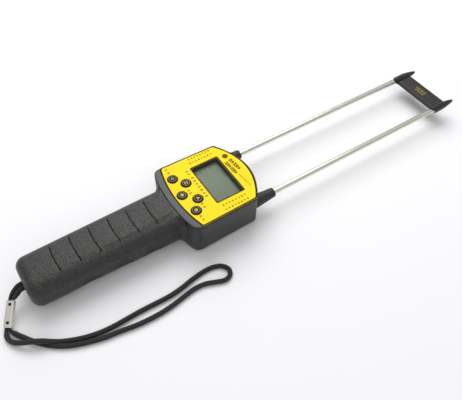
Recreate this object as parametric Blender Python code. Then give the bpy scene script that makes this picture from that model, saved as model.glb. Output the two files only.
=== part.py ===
"""A hand-held grain moisture meter with two long steel probes and a wrist strap.

The meter lies on its back: +Y runs from the end of the grip to the probe tips, +X across the
face and +Z out of the face.  Inside this script every place is measured from the grip's end
face (y = 0); an empty carries the whole meter back by half its length, so that the origin is
the bottom centre of the rigid meter.  Lengths are in metres.
"""
import math
from collections import namedtuple

import bmesh
import bpy
from mathutils import Matrix, Vector

# ---------------------------------------------------------------- driving dimensions
GAP = 0.0003            # clearance between touching pieces
WALL = 0.0022           # shell wall
GRIP_SIDE = 0.0042      # the thicker sides of the grip

GRIP_LENGTH = 0.1295    # end face to the start of the neck
GRIP_END_WIDTH = 0.0416
GRIP_NECK_WIDTH = 0.0460
GRIP_TOP = 0.0345
GRIP_LIFT = 0.0020      # the middle of the grip stands clear of the table
GRIP_HEEL = 0.020       # the length at the end that touches the table
GRIP_END_LOW_RADIUS = 0.0165
GRIP_LOW_RADIUS = 0.0115   # where the grip meets the neck
GRIP_TOP_RADIUS = 0.011
END_RADIUS = 0.0085

NECK_LENGTH = 0.0140
HEAD_LENGTH = 0.0580    # along the straight sides
HEAD_WIDTH = 0.0776
HEAD_FRONT_WIDTH = 0.0754
HEAD_HEIGHT = 0.0360
HEAD_LOW_RADIUS = 0.0060
HEAD_TOP_RADIUS = 0.0022
REAR_BULGE = 0.0054     # how far the rear arc of the head bows towards the grip
FRONT_BULGE = 0.0140    # how far the front arc bows towards the probes
FRONT_RADIUS = 0.0030

GROOVE_COUNT = 6
GROOVE_PITCH = 0.0171
GROOVE_FIRST = 0.0287
GROOVE_WIDTH = 0.0009
GROOVE_DEPTH = 0.0005
GROOVE_SPAN = 0.0225
GROOVE_BOW = 0.0008
FINGER_COUNT = 3
FINGER_PITCH = 0.0280
FINGER_FIRST = 0.0475
FINGER_SIZE = (0.0060, 0.0120, 0.0160)
FINGER_OUT = 0.0022      # a hollow's centre lies this far outside the grip's side
FINGER_Z = 0.0080

LABEL_MARGIN = 0.0010
LABEL_THICK = 0.0005
LABEL_CORNER = 0.0014

WINDOW_SIZE = (0.0454, 0.0274)
WINDOW_FROM_NECK = 0.0386
WINDOW_CORNER = 0.0016
BEZEL_THICK = 0.0026
BEZEL_SLOPE = 0.0018
LENS_THICK = 0.0010
PANEL_THICK = 0.0028
BOARD_THICK = 0.0016
BOARD_WIDTH = 0.0480

BUTTON_DIAMETER = 0.0096
BUTTON_PROUD = 0.0010
BUTTON_TRAVEL = 0.0008
BUTTON_PITCH = 0.01025
BUTTON_REAR = 0.0049    # the buttons' places in front of the neck
BUTTON_MIDDLE = 0.0029
BUTTON_FRONT = 0.0127
FLANGE_EXTRA = 0.0010
SWITCH_SIDE = 0.0060

ROD_DIAMETER = 0.0055
ROD_SPACING = 0.0560
ROD_Z = HEAD_HEIGHT / 2
ROD_INSIDE = 0.0148     # reach of a rod behind the head's straight front corner
PROBE_REACH = 0.2479    # head's front to the probe tips

BOOT_ROOT_RADIUS = 0.0062
BOOT_TIP_RADIUS = 0.0045
BOOT_REACH = 0.0100     # in front of the head
COLLAR_RADIUS = 0.0069
COLLAR_LENGTH = 0.0018
SADDLE_LENGTH = 0.0036
NUT_ACROSS = 0.0090
NUT_LENGTH = 0.0030
TERMINAL_THICK = 0.0009

BRIDGE_FROM_TIP = 0.0282
BRIDGE_DEPTH = 0.0175
BRIDGE_THICK = 0.0045
FIN_LENGTH = 0.0329
FIN_HALF_WIDTH = ROD_DIAMETER / 2 + 0.00105
FIN_HALF_HEIGHT = ROD_DIAMETER / 2 + 0.00155
SOCKET_DEPTH = 0.0140

CELL_DIAMETER = 0.0105
CELL_LENGTH = 0.0445
CELL_START = 0.0165
DOOR_START = 0.0128
BAY_RIB = 0.0014
CONTACT_THICK = 0.0004

SCREW_HEAD_RADIUS = 0.0023
SCREW_SHANK_RADIUS = 0.0012
POST_RADIUS = 0.0034
SCREW_SEAT_Z = 0.0090

CORD_DIAMETER = 0.0042
CORD_EXIT_Z = 0.0195
CORD_SPACING = CORD_DIAMETER + 0.0004
CORD_NECK = 0.57        # share of its diameter that the cord keeps inside the crimp
CRIMP_SHEET = 0.0005
CRIMP_WIDTH = 2 * (CORD_DIAMETER * CORD_NECK + CRIMP_SHEET) + 3 * GAP + 0.0002
CRIMP_SIZE = (CRIMP_WIDTH, 0.0046, 0.0210)
LEAD_DIAMETER = 0.0012

# ---------------------------------------------------------------- places that follow
NECK_END = GRIP_LENGTH + NECK_LENGTH
FRONT_CORNER = NECK_END + HEAD_LENGTH
HEAD_FRONT = FRONT_CORNER + FRONT_BULGE
LENGTH = HEAD_FRONT + PROBE_REACH
WINDOW_Y = NECK_END + WINDOW_FROM_NECK
BOARD_START = NECK_END - 0.0015
BOARD_END = FRONT_CORNER - 0.0011
BOOT_END = HEAD_FRONT + BOOT_REACH
BRIDGE_REAR = LENGTH - BRIDGE_FROM_TIP
FIN_REAR = LENGTH - FIN_LENGTH
SPLIT_Z = ROD_Z
LABEL_TOP = HEAD_HEIGHT
CEILING = HEAD_HEIGHT - WALL
LABEL_FLOOR = LABEL_TOP - LABEL_THICK - GAP
BEZEL_TOP = LABEL_FLOOR
LENS_TOP = BEZEL_TOP - BEZEL_THICK - GAP
PANEL_TOP = LENS_TOP - LENS_THICK - GAP
BOARD_TOP = PANEL_TOP - PANEL_THICK - 2 * GAP
BOARD_LOW = BOARD_TOP - BOARD_THICK
SWITCH_BASE = BOARD_TOP + GAP
SWITCH_TOP = SWITCH_BASE + 0.0014
STEM_LOW = SWITCH_TOP + BUTTON_TRAVEL + GAP
ROD_X = ROD_SPACING / 2
ROD_START = FRONT_CORNER - ROD_INSIDE
NUT_START = ROD_START + 0.0014
TERMINAL_START = NUT_START + NUT_LENGTH + GAP
SADDLE_START = TERMINAL_START + TERMINAL_THICK + GAP
COLLAR_START = SADDLE_START + SADDLE_LENGTH + GAP
CELL_X = CELL_DIAMETER / 2 + GAP
CELL_Z = GRIP_LIFT + WALL + 2 * GAP + CELL_DIAMETER / 2 + 0.0004
CELLS_END = CELL_START + 2 * CELL_LENGTH + GAP
DOOR_END = CELLS_END + 0.0027
DOOR_WIDTH = 2 * (CELL_X + CELL_DIAMETER / 2 + 0.0004)
BAY_HALF = DOOR_WIDTH / 2 + GAP
HINGE_Z = GRIP_LIFT + 0.0002
BAY_MOUTH = HINGE_Z + 0.0043

# rows of buttons, as (name, x in pitches, y)
BUTTONS = (
    ("left_rear", -2, NECK_END + BUTTON_REAR),
    ("left_front", -1, NECK_END + BUTTON_FRONT),
    ("middle", 0, NECK_END + BUTTON_MIDDLE),
    ("right_front", 1, NECK_END + BUTTON_FRONT),
    ("right_rear", 2, NECK_END + BUTTON_REAR),
)

# case screws, as (name, x, y, foot of the rear post, top of the front post)
SCREWS = (
    ("grip_left", -0.0130, 0.0092, 0.0054, 0.0300),
    ("grip_right", 0.0130, 0.0092, 0.0054, 0.0300),
    ("neck_left", -0.0325, NECK_END + 0.0070, 0.0012, 0.0346),
    ("neck_right", 0.0325, NECK_END + 0.0070, 0.0012, 0.0346),
    ("front_left", -0.0135, FRONT_CORNER + 0.0052, 0.0012, 0.0346),
    ("front_right", 0.0135, FRONT_CORNER + 0.0052, 0.0012, 0.0346),
)

# how the width grows from the grip to the head, as (share of the neck, share of the growth)
NECK_SHAPE = ((0.0, 0.0), (0.15, 0.04), (0.36, 0.25), (0.50, 0.58), (0.64, 0.86), (0.82, 0.97))

CRIMP_START = Vector((0.0030, -0.0132, 0.0122))
CRIMP_END = Vector((0.0186, -0.0242, 0.0030))

Section = namedtuple("Section", "y half low high low_radius high_radius bulge")


# ---------------------------------------------------------------- scene and helpers
def clear_scene():
    for old in list(bpy.data.objects):
        bpy.data.objects.remove(old, do_unlink=True)


def whole_meter():
    """The empty that every piece hangs on."""
    carrier = bpy.data.objects.new("meter", None)
    carrier.location = (0.0, -LENGTH / 2, 0.0)
    bpy.context.scene.collection.objects.link(carrier)
    return carrier


def finish(kind, colour, roughness, metallic=0.0, alpha=1.0):
    """A Principled material, made once for each kind of surface."""
    material = bpy.data.materials.get(kind)
    if material is None:
        material = bpy.data.materials.new(kind)
        material.use_nodes = True
        shader = material.node_tree.nodes["Principled BSDF"]
        shader.inputs["Base Color"].default_value = (*colour, 1.0)
        shader.inputs["Roughness"].default_value = roughness
        shader.inputs["Metallic"].default_value = metallic
        shader.inputs["Alpha"].default_value = alpha
    return material


def charcoal_plastic():
    return finish("charcoal_plastic", (0.045, 0.048, 0.044), 0.55)


def black_plastic():
    return finish("black_plastic", (0.018, 0.019, 0.019), 0.45)


def steel():
    return finish("stainless_steel", (0.62, 0.61, 0.57), 0.18, 1.0)


def nickel():
    return finish("nickel_plate", (0.68, 0.67, 0.63), 0.22, 1.0)


def brass():
    return finish("brass", (0.70, 0.53, 0.24), 0.30, 1.0)


def add_object(name, bm, place=(0, 0, 0), turn=(0, 0, 0), material=None):
    """Turns a bmesh into a placed object that hangs on the meter."""
    mesh = bpy.data.meshes.new(name)
    bm.to_mesh(mesh)
    bm.free()
    made = bpy.data.objects.new(name, mesh)
    made.location = place
    made.rotation_euler = turn
    made.parent = METER
    bpy.context.scene.collection.objects.link(made)
    if material is not None:
        mesh.materials.append(material)
        mesh.shade_smooth()
        mesh.set_sharp_from_angle(angle=math.radians(32))
    return made


def as_cutter(made):
    made.hide_render = True
    made.display_type = "WIRE"
    return made


def boolean(target, tool, operation="DIFFERENCE"):
    change = target.modifiers.new(operation.lower(), "BOOLEAN")
    change.operation = operation
    change.solver = "EXACT"
    change.object = as_cutter(tool)


def block_mesh(low, high, corner=0.0, segments=3, vertical_only=True):
    """A box between two corners, with its upright edges rounded."""
    bm = bmesh.new()
    bmesh.ops.create_cube(bm, size=1.0)
    size = [b - a for a, b in zip(low, high)]
    middle = [(a + b) / 2 for a, b in zip(low, high)]
    bmesh.ops.scale(bm, vec=size, verts=bm.verts)
    bmesh.ops.translate(bm, vec=middle, verts=bm.verts)
    if corner > 0:
        edges = list(bm.edges)
        if vertical_only:
            edges = [e for e in edges if abs(e.verts[0].co.z - e.verts[1].co.z) > 1e-6]
        bmesh.ops.bevel(bm, geom=edges, offset=corner, segments=segments, profile=0.5,
                        affect="EDGES", material=-1)
    return bm


def turned_mesh(profile, steps=24, closed=False):
    """A solid of revolution about Z from (radius, height) points; closed leaves a bore."""
    bm = bmesh.new()
    ring = [bm.verts.new((radius, 0.0, height)) for radius, height in profile]
    edges = [bm.edges.new(pair) for pair in zip(ring, ring[1:])]
    if closed:
        edges.append(bm.edges.new((ring[-1], ring[0])))
    bmesh.ops.spin(bm, geom=ring + edges, cent=(0, 0, 0), axis=(0, 0, 1),
                   angle=math.tau, steps=steps, use_merge=True)
    bmesh.ops.remove_doubles(bm, verts=bm.verts, dist=1e-6)
    bmesh.ops.recalc_face_normals(bm, faces=bm.faces)
    return bm


ALONG_Y = (-math.pi / 2, 0.0, 0.0)   # turns a solid of revolution from +Z to +Y


# ---------------------------------------------------------------- the moulded body
def mix(a, b, share):
    return a + (b - a) * share


def grip_section(y, inset):
    share = min(max(y / GRIP_LENGTH, 0.0), 1.0)
    half = mix(GRIP_END_WIDTH, GRIP_NECK_WIDTH, share) / 2
    side = inset * GRIP_SIDE / WALL
    clear = min(max((y - GRIP_HEEL) / 0.030, 0.0), 1.0)
    lift = GRIP_LIFT * clear * clear * (3 - 2 * clear)
    return Section(y, half - side, lift + inset, GRIP_TOP - inset,
                   mix(GRIP_END_LOW_RADIUS, GRIP_LOW_RADIUS, share) - inset,
                   GRIP_TOP_RADIUS - inset, 0.0)


def neck_section(t, share, inset):
    """A station of the neck: t is its place along the neck, share how far it has widened."""
    shift = inset * 0.8 * math.sin(math.pi * min(t * 1.5, 0.5))
    side = inset * mix(GRIP_SIDE / WALL, 1.0, share)
    return Section(
        GRIP_LENGTH + NECK_LENGTH * t + shift,
        mix(GRIP_NECK_WIDTH, HEAD_WIDTH, share) / 2 - side,
        mix(GRIP_LIFT, 0.0, share) + inset,
        mix(GRIP_TOP, HEAD_HEIGHT, share) - inset,
        mix(GRIP_LOW_RADIUS, HEAD_LOW_RADIUS, share) - inset,
        max(mix(GRIP_TOP_RADIUS, HEAD_TOP_RADIUS, share) - inset, 0.0008),
        -REAR_BULGE * share,
    )


def head_section(u, y, inset):
    """Along the head, from the end of the neck (u = 0) to the front corners (u = 1)."""
    half = mix(HEAD_WIDTH, HEAD_FRONT_WIDTH, u) / 2
    return Section(y, half - inset, inset, HEAD_HEIGHT - inset,
                   max(HEAD_LOW_RADIUS - inset, 0.0010),
                   max(HEAD_TOP_RADIUS - inset, 0.0008),
                   mix(-REAR_BULGE, FRONT_BULGE, u))


def body_sections(inset, cap_steps=4, head_steps=5):
    sections = []
    radius = END_RADIUS - inset
    for step in range(cap_steps + 1):
        angle = math.pi / 2 * step / cap_steps
        pull = radius * (1 - math.sin(angle))
        whole = grip_section(inset + radius * (1 - math.cos(angle)), inset)
        sections.append(whole._replace(half=whole.half - pull, low=whole.low + pull,
                                       high=whole.high - pull,
                                       low_radius=whole.low_radius - pull,
                                       high_radius=whole.high_radius - pull * 0.9))
    for y in (GRIP_HEEL, 0.033, 0.052, 0.078, 0.104, GRIP_LENGTH - 0.010):
        sections.append(grip_section(y, inset))
    for t, share in NECK_SHAPE:
        sections.append(neck_section(t, share, inset))
    sections.append(neck_section(1.0, 1.0, inset))
    radius = max(FRONT_RADIUS - inset, 0.0008)
    start = NECK_END + inset * 0.8
    stop = FRONT_CORNER - inset - radius
    for step in range(1, head_steps + 1):
        u = step / head_steps
        sections.append(head_section(u, mix(start, stop, u), inset))
    for step in range(1, cap_steps + 1):
        angle = math.pi / 2 * step / cap_steps
        pull = radius * (1 - math.cos(angle))
        sections.append(head_section(1.0, stop + radius * math.sin(angle), inset + pull))
    return sections


def half_ring(section, radius, upper, arc_steps, flat_steps):
    """The upper or lower half of a section, from its right side to its left."""
    points = []
    flat = section.half - radius
    for step in range(arc_steps + 1):
        angle = math.pi / 2 * step / arc_steps
        points.append((flat + radius * math.cos(angle), radius * (1 - math.sin(angle))))
    for step in range(1, flat_steps):
        points.append((flat - 2 * flat * step / flat_steps, 0.0))
    for step in range(arc_steps + 1):
        angle = math.pi / 2 * (1 - step / arc_steps)
        points.append((-flat - radius * math.cos(angle), radius * (1 - math.sin(angle))))
    level = section.high if upper else section.low
    sign = -1 if upper else 1
    return [(x, level + sign * drop) for x, drop in points]


def body_mesh(inset, arc_steps=4, flat_steps=8):
    """The whole moulded body as one closed solid, drawn in by inset."""
    bm = bmesh.new()
    rings = []
    for section in body_sections(inset):
        upper = half_ring(section, section.high_radius, True, arc_steps, flat_steps)
        lower = half_ring(section, section.low_radius, False, arc_steps, flat_steps)
        ring = []
        for x, z in upper + lower[::-1]:
            bow = section.bulge * (1 - (x / section.half) ** 2)
            ring.append(bm.verts.new((x, section.y + bow, z)))
        rings.append(ring)
    for near, far in zip(rings, rings[1:]):
        for i in range(len(near)):
            j = (i + 1) % len(near)
            bm.faces.new((near[i], near[j], far[j], far[i]))
    half = len(rings[0]) // 2
    for ring in (rings[0], rings[-1]):
        for i in range(half - 1):
            bm.faces.new((ring[i], ring[i + 1], ring[-2 - i], ring[-1 - i]))
    bmesh.ops.triangulate(bm, faces=bm.faces)
    bmesh.ops.recalc_face_normals(bm, faces=bm.faces)
    return bm


def half_space(name, upper):
    low, high = (SPLIT_Z + GAP / 2, 0.08) if upper else (-0.02, SPLIT_Z - GAP / 2)
    return add_object(name, block_mesh((-0.06, -0.02, low), (0.06, HEAD_FRONT + 0.02, high)))


def hollow_body(name, upper, material):
    shell = add_object(name, body_mesh(0.0), material=material)
    boolean(shell, add_object(name + "_hollow", body_mesh(WALL, 3, 6)))
    boolean(shell, half_space(name + "_half", upper), "INTERSECT")
    return shell


def merged(name, meshes):
    """Several separate solids as the mesh of one cutter."""
    whole = bmesh.new()
    for bm in meshes:
        scrap = bpy.data.meshes.new("scrap")
        bm.to_mesh(scrap)
        bm.free()
        whole.from_mesh(scrap)
        bpy.data.meshes.remove(scrap)
    return add_object(name, whole)


def upright(radius, low, high, x, y, steps=16):
    bm = turned_mesh([(0, high), (radius, high), (radius, low), (0, low)], steps)
    bmesh.ops.translate(bm, vec=(x, y, 0), verts=bm.verts)
    return bm


def lengthwise(radius, start, end, x, z, steps=20):
    bm = turned_mesh([(0, end), (radius, end), (radius, start), (0, start)], steps)
    bmesh.ops.rotate(bm, cent=(0, 0, 0), matrix=Matrix.Rotation(-math.pi / 2, 3, "X"),
                     verts=bm.verts)
    bmesh.ops.translate(bm, vec=(x, 0, z), verts=bm.verts)
    return bm


def groove_meshes():
    """Thin, slightly bowed cross grooves over the crown of the grip."""
    half = GROOVE_SPAN / 2
    for index in range(GROOVE_COUNT):
        y = GROOVE_FIRST + GROOVE_PITCH * index
        bm = block_mesh((-half, -GROOVE_WIDTH / 2, GRIP_TOP - GROOVE_DEPTH),
                        (half, GROOVE_WIDTH / 2, GRIP_TOP + 0.003))
        across = [e for e in bm.edges if abs(e.verts[0].co.x - e.verts[1].co.x) > 1e-6]
        bmesh.ops.subdivide_edges(bm, edges=across, cuts=5, use_grid_fill=True)
        for vert in bm.verts:
            vert.co.y += y + GROOVE_BOW * (vert.co.x / half) ** 2
        yield bm


def finger_meshes():
    """Shallow hollows for the fingers, low on both sides of the grip."""
    for index in range(FINGER_COUNT):
        for side in (-1, 1):
            bm = bmesh.new()
            bmesh.ops.create_uvsphere(bm, u_segments=18, v_segments=11, radius=1.0)
            bmesh.ops.scale(bm, vec=FINGER_SIZE, verts=bm.verts)
            y = FINGER_FIRST + FINGER_PITCH * index
            half = mix(GRIP_END_WIDTH, GRIP_NECK_WIDTH, y / GRIP_LENGTH) / 2
            bmesh.ops.translate(bm, vec=(side * (half + FINGER_OUT), y, FINGER_Z), verts=bm.verts)
            yield bm


def boot_hole_meshes():
    for side in (-1, 1):
        yield lengthwise(BOOT_ROOT_RADIUS + GAP + 0.0001, COLLAR_START + COLLAR_LENGTH,
                         HEAD_FRONT + 0.01, side * ROD_X, ROD_Z)


def cord_hole_mesh():
    half = CORD_SPACING / 2
    reach = CORD_DIAMETER / 2 + 2 * GAP
    return block_mesh((-half - reach, -0.003, CORD_EXIT_Z - reach),
                      (half + reach, WALL + 0.003, CORD_EXIT_Z + reach),
                      corner=0.0012, vertical_only=False, segments=2)


def saddle_mesh(side, upper):
    """A rib with half a bore that holds a rod from above or below."""
    ends = (SPLIT_Z + GAP / 2, CEILING + 0.0008) if upper else (WALL - 0.0008, SPLIT_Z - GAP / 2)
    low, high = sorted((side * (ROD_X - 0.0034), side * (ROD_X + 0.0077)))
    return block_mesh((low, SADDLE_START, ends[0]),
                      (high, SADDLE_START + SADDLE_LENGTH, ends[1]))


def rod_way_meshes():
    """The room for the rods through the saddles."""
    for side in (-1, 1):
        yield lengthwise(ROD_DIAMETER / 2 + GAP, SADDLE_START - 0.001,
                         SADDLE_START + SADDLE_LENGTH + 0.001, side * ROD_X, ROD_Z)


def label_outline_mesh(grow, low, high):
    """The shield shape of the face: two bowed ends and two straight sides."""
    steps = 14
    rear_half = HEAD_WIDTH / 2 - LABEL_MARGIN + grow
    front_half = HEAD_FRONT_WIDTH / 2 - LABEL_MARGIN + grow
    rear = NECK_END + LABEL_MARGIN - grow
    front = FRONT_CORNER - LABEL_MARGIN + grow
    outline = []
    for step in range(steps + 1):
        x = mix(-rear_half, rear_half, step / steps)
        outline.append((x, rear - REAR_BULGE * (1 - (x / rear_half) ** 2)))
    for step in range(steps + 1):
        x = mix(front_half, -front_half, step / steps)
        outline.append((x, front + (FRONT_BULGE - 0.001) * (1 - (x / front_half) ** 2)))
    bm = bmesh.new()
    face = bm.faces.new([bm.verts.new((x, y, low)) for x, y in outline])
    corners = [bm.verts[:][i] for i in (0, steps, steps + 1, 2 * steps + 1)]
    tips = [v.co.to_2d() for v in corners]
    pushed = bmesh.ops.extrude_face_region(bm, geom=[face])
    top = [v for v in pushed["geom"] if isinstance(v, bmesh.types.BMVert)]
    bmesh.ops.translate(bm, vec=(0, 0, high - low), verts=top)
    posts = []
    for edge in bm.edges:
        a, b = edge.verts
        if (a.co.to_2d() - b.co.to_2d()).length < 1e-7:
            if any((a.co.to_2d() - tip).length < 1e-7 for tip in tips):
                posts.append(edge)
    bmesh.ops.bevel(bm, geom=posts, offset=LABEL_CORNER, segments=3, profile=0.5,
                    affect="EDGES", material=-1)
    bmesh.ops.recalc_face_normals(bm, faces=bm.faces)
    return bm


def window_mesh(grow, low, high):
    half_x = WINDOW_SIZE[0] / 2 + grow
    half_y = WINDOW_SIZE[1] / 2 + grow
    return block_mesh((-half_x, WINDOW_Y - half_y, low), (half_x, WINDOW_Y + half_y, high),
                      corner=WINDOW_CORNER)


def button_hole_meshes(low, high):
    radius = BUTTON_DIAMETER / 2 + GAP
    for _, pitches, y in BUTTONS:
        yield upright(radius, low, high, pitches * BUTTON_PITCH, y, 24)


def cut_outside(shell, half):
    """The openings that both halves share: cord hole, boot holes and finger hollows."""
    boolean(shell, add_object(half + "_cord_hole", cord_hole_mesh()))
    boolean(shell, merged(half + "_boot_holes", boot_hole_meshes()))
    boolean(shell, merged(half + "_fingers", finger_meshes()))


def make_front_shell():
    shell = hollow_body("front_shell", True, charcoal_plastic())
    cut_outside(shell, "upper")
    boolean(shell, merged("grooves", groove_meshes()))
    boolean(shell, add_object("label_pocket",
                              label_outline_mesh(GAP, LABEL_FLOOR, LABEL_TOP + 0.002)))
    boolean(shell, add_object("window_opening",
                              window_mesh(0.0012 + GAP, CEILING - 0.003, LABEL_TOP)))
    boolean(shell, merged("button_holes", button_hole_meshes(CEILING - 0.002, LABEL_TOP)))
    posts = [upright(POST_RADIUS, SPLIT_Z + GAP / 2, top, x, y, 14)
             for _, x, y, _, top in SCREWS]
    boolean(shell, merged("front_posts", posts), "UNION")
    saddles = [saddle_mesh(side, True) for side in (-1, 1)]
    boolean(shell, merged("front_saddles", saddles), "UNION")
    boolean(shell, merged("upper_rod_ways", rod_way_meshes()))
    pilots = [upright(SCREW_SHANK_RADIUS + GAP, SPLIT_Z - 0.002, SPLIT_Z + 0.0090, x, y, 12)
              for _, x, y, _, _ in SCREWS]
    boolean(shell, merged("pilot_holes", pilots))


def bay_wall_meshes():
    """Ribs round the cells: two long ones, and two that the contacts lean on."""
    outer = BAY_HALF + BAY_RIB
    top = CELL_Z + 0.0030
    front = CELLS_END + GAP + CONTACT_THICK + GAP
    for side in (-1, 1):
        inner, far = sorted((side * BAY_HALF, side * outer))
        yield block_mesh((inner, DOOR_START - GAP - BAY_RIB, GRIP_LIFT + 0.0014),
                         (far, DOOR_END + GAP, top))
    yield block_mesh((-BAY_HALF - 0.0002, front, BAY_MOUTH + 0.0001),
                     (BAY_HALF + 0.0002, front + BAY_RIB, top))
    yield block_mesh((-BAY_HALF - 0.0002, DOOR_START - GAP - BAY_RIB, 0.0020),
                     (BAY_HALF + 0.0002, DOOR_START - GAP, top))


def door_box_mesh(grow):
    half = DOOR_WIDTH / 2 + grow
    return block_mesh((-half, DOOR_START - grow, -0.01), (half, DOOR_END + grow, BAY_MOUTH - GAP))


def make_rear_shell():
    shell = hollow_body("rear_shell", False, charcoal_plastic())
    cut_outside(shell, "lower")
    posts = [upright(POST_RADIUS, foot, SPLIT_Z - GAP / 2, x, y, 14)
             for _, x, y, foot, _ in SCREWS]
    boolean(shell, merged("rear_posts", posts), "UNION")
    saddles = [saddle_mesh(side, False) for side in (-1, 1)]
    boolean(shell, merged("rear_saddles", saddles), "UNION")
    boolean(shell, merged("lower_rod_ways", rod_way_meshes()))
    for index, rib in enumerate(bay_wall_meshes()):
        boolean(shell, add_object(f"bay_rib_{index}", rib), "UNION")
    boolean(shell, add_object("door_opening", opening_mesh()))
    ways = [upright(SCREW_SHANK_RADIUS + GAP, SCREW_SEAT_Z - 0.001, SPLIT_Z + 0.001, x, y, 12)
            for _, x, y, _, _ in SCREWS]
    boolean(shell, merged("screw_ways", ways))
    wells = [upright(SCREW_HEAD_RADIUS + GAP, -0.002, SCREW_SEAT_Z, x, y, 14)
             for _, x, y, _, _ in SCREWS]
    boolean(shell, merged("screw_wells", wells))


def opening_mesh():
    """The mouth of the battery bay through the floor of the grip."""
    half = DOOR_WIDTH / 2 + GAP
    return block_mesh((-half, DOOR_START - GAP, -0.01),
                      (half, DOOR_END + GAP, BAY_MOUTH))


# ---------------------------------------------------------------- battery door and cells
def make_battery_door():
    """A strip of the grip's own wall, with a lip at its front end that hooks over the floor."""
    bm = body_mesh(0.0)
    hinge = Vector((0.0, DOOR_END, HINGE_Z))
    bmesh.ops.translate(bm, vec=-hinge, verts=bm.verts)
    door = add_object("battery_door", bm, place=hinge, material=charcoal_plastic())
    boolean(door, add_object("door_hollow", body_mesh(WALL, 3, 6)))
    boolean(door, add_object("door_box", door_box_mesh(0.0)), "INTERSECT")
    lip = block_mesh((-0.0040, DOOR_END - 0.0019, HINGE_Z + 0.0014),
                     (0.0040, DOOR_END + 0.0018, HINGE_Z + 0.0036))
    boolean(door, add_object("door_lip", lip), "UNION")
    relief = block_mesh((-0.0060, DOOR_END - 0.0001, HINGE_Z - 0.0010),
                        (0.0060, DOOR_END + 0.0030, HINGE_Z + 0.0028))
    boolean(door, add_object("lip_relief", relief))
    nail = bmesh.new()
    bmesh.ops.create_uvsphere(nail, u_segments=14, v_segments=8, radius=1.0)
    bmesh.ops.scale(nail, vec=(0.0055, 0.0035, 0.0010), verts=nail.verts)
    bmesh.ops.translate(nail, vec=(0, DOOR_START + 0.0085, 0.0), verts=nail.verts)
    boolean(door, add_object("nail_mark", nail))


def make_cells():
    """Four small cylindrical cells, end to end in two columns."""
    radius = CELL_DIAMETER / 2
    nub = 0.0010
    profile = [(0, CELL_LENGTH), (0.0018, CELL_LENGTH), (0.0018, CELL_LENGTH - nub),
               (radius - 0.0004, CELL_LENGTH - nub), (radius, CELL_LENGTH - nub - 0.0004),
               (radius, 0.0004), (radius - 0.0004, 0), (0, 0)]
    sleeve = finish("cell_sleeve", (0.10, 0.22, 0.45), 0.35)
    for column, x in enumerate((-CELL_X, CELL_X)):
        for row in range(2):
            start = CELL_START + row * (CELL_LENGTH + GAP)
            forward = column == 0
            y = start if forward else start + CELL_LENGTH
            turn = ALONG_Y if forward else (math.pi / 2, 0.0, 0.0)
            add_object(f"battery_cell_{column * 2 + row + 1}", turned_mesh(profile, 16),
                       place=(x, y, CELL_Z), turn=turn, material=sleeve)


def make_contacts():
    """One joining plate with a spring at the grip's end, two plates at the other end."""
    rear = DOOR_START + CONTACT_THICK / 2 + GAP
    front = CELLS_END + GAP + CONTACT_THICK / 2
    wide = CELL_X + 0.0042
    bridge = add_object("battery_bridge_contact",
                        block_mesh((-wide, -CONTACT_THICK / 2, -0.0038),
                                   (wide, CONTACT_THICK / 2, 0.0038)),
                        place=(0, rear, CELL_Z), material=nickel())
    room = CELL_START - rear - GAP
    spring = turned_mesh([(0, room), (0.0018, room), (0.0032, 0.0), (0, 0.0)], 14)
    bmesh.ops.rotate(spring, cent=(0, 0, 0), matrix=Matrix.Rotation(-math.pi / 2, 3, "X"),
                     verts=spring.verts)
    bmesh.ops.translate(spring, vec=(-CELL_X, rear, CELL_Z), verts=spring.verts)
    boolean(bridge, add_object("bridge_spring", spring), "UNION")
    for name, side in (("positive", -1), ("negative", 1)):
        low, high = sorted((side * 0.0012, side * wide))
        add_object(f"battery_{name}_contact",
                   block_mesh((low, -CONTACT_THICK / 2, -0.0038), (high, CONTACT_THICK / 2, 0.0038)),
                   place=(0, front, CELL_Z + 0.0006), material=nickel())


# ---------------------------------------------------------------- face, window and buttons
def make_label():
    yellow = finish("printed_yellow_film", (0.98, 0.78, 0.02), 0.35)
    label = add_object("face_label", label_outline_mesh(0.0, LABEL_TOP - LABEL_THICK, LABEL_TOP),
                       material=yellow)
    boolean(label, add_object("label_window", window_mesh(0.0, LABEL_TOP - 0.002, LABEL_TOP + 0.002)))
    boolean(label, merged("label_holes", button_hole_meshes(LABEL_TOP - 0.002, LABEL_TOP + 0.002)))


def make_bezel():
    """The dark frame round the display, with sides that slope in towards the glass."""
    low, high = BEZEL_TOP - BEZEL_THICK, BEZEL_TOP
    frame = add_object("lcd_bezel", window_mesh(0.0012, low, high),
                       material=finish("bezel_plastic", (0.035, 0.037, 0.045), 0.4))
    funnel = window_mesh(0.0, low - 0.001, high + 0.001)
    for vert in funnel.verts:
        if vert.co.z < (low + high) / 2:
            vert.co.x -= math.copysign(BEZEL_SLOPE, vert.co.x)
            vert.co.y -= math.copysign(BEZEL_SLOPE, vert.co.y - WINDOW_Y)
    boolean(frame, add_object("bezel_funnel", funnel))


def make_display():
    add_object("lcd_lens", window_mesh(0.0012, LENS_TOP - LENS_THICK, LENS_TOP),
               material=finish("clear_acrylic", (0.9, 0.92, 0.9), 0.05, alpha=0.35))
    add_object("lcd_panel", window_mesh(0.0016, PANEL_TOP - PANEL_THICK, PANEL_TOP),
               material=finish("lcd_glass", (0.20, 0.25, 0.17), 0.15))


def make_board():
    half = BOARD_WIDTH / 2
    add_object("main_board", block_mesh((-half, BOARD_START, BOARD_LOW), (half, BOARD_END, BOARD_TOP),
                                        corner=0.002),
               material=finish("circuit_board", (0.02, 0.16, 0.06), 0.4))
    chip = BOARD_START + 0.028
    add_object("mcu_chip", block_mesh((-0.005, chip, BOARD_LOW - GAP - 0.0014),
                                      (0.005, chip + 0.010, BOARD_LOW - GAP)),
               material=black_plastic())


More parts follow.
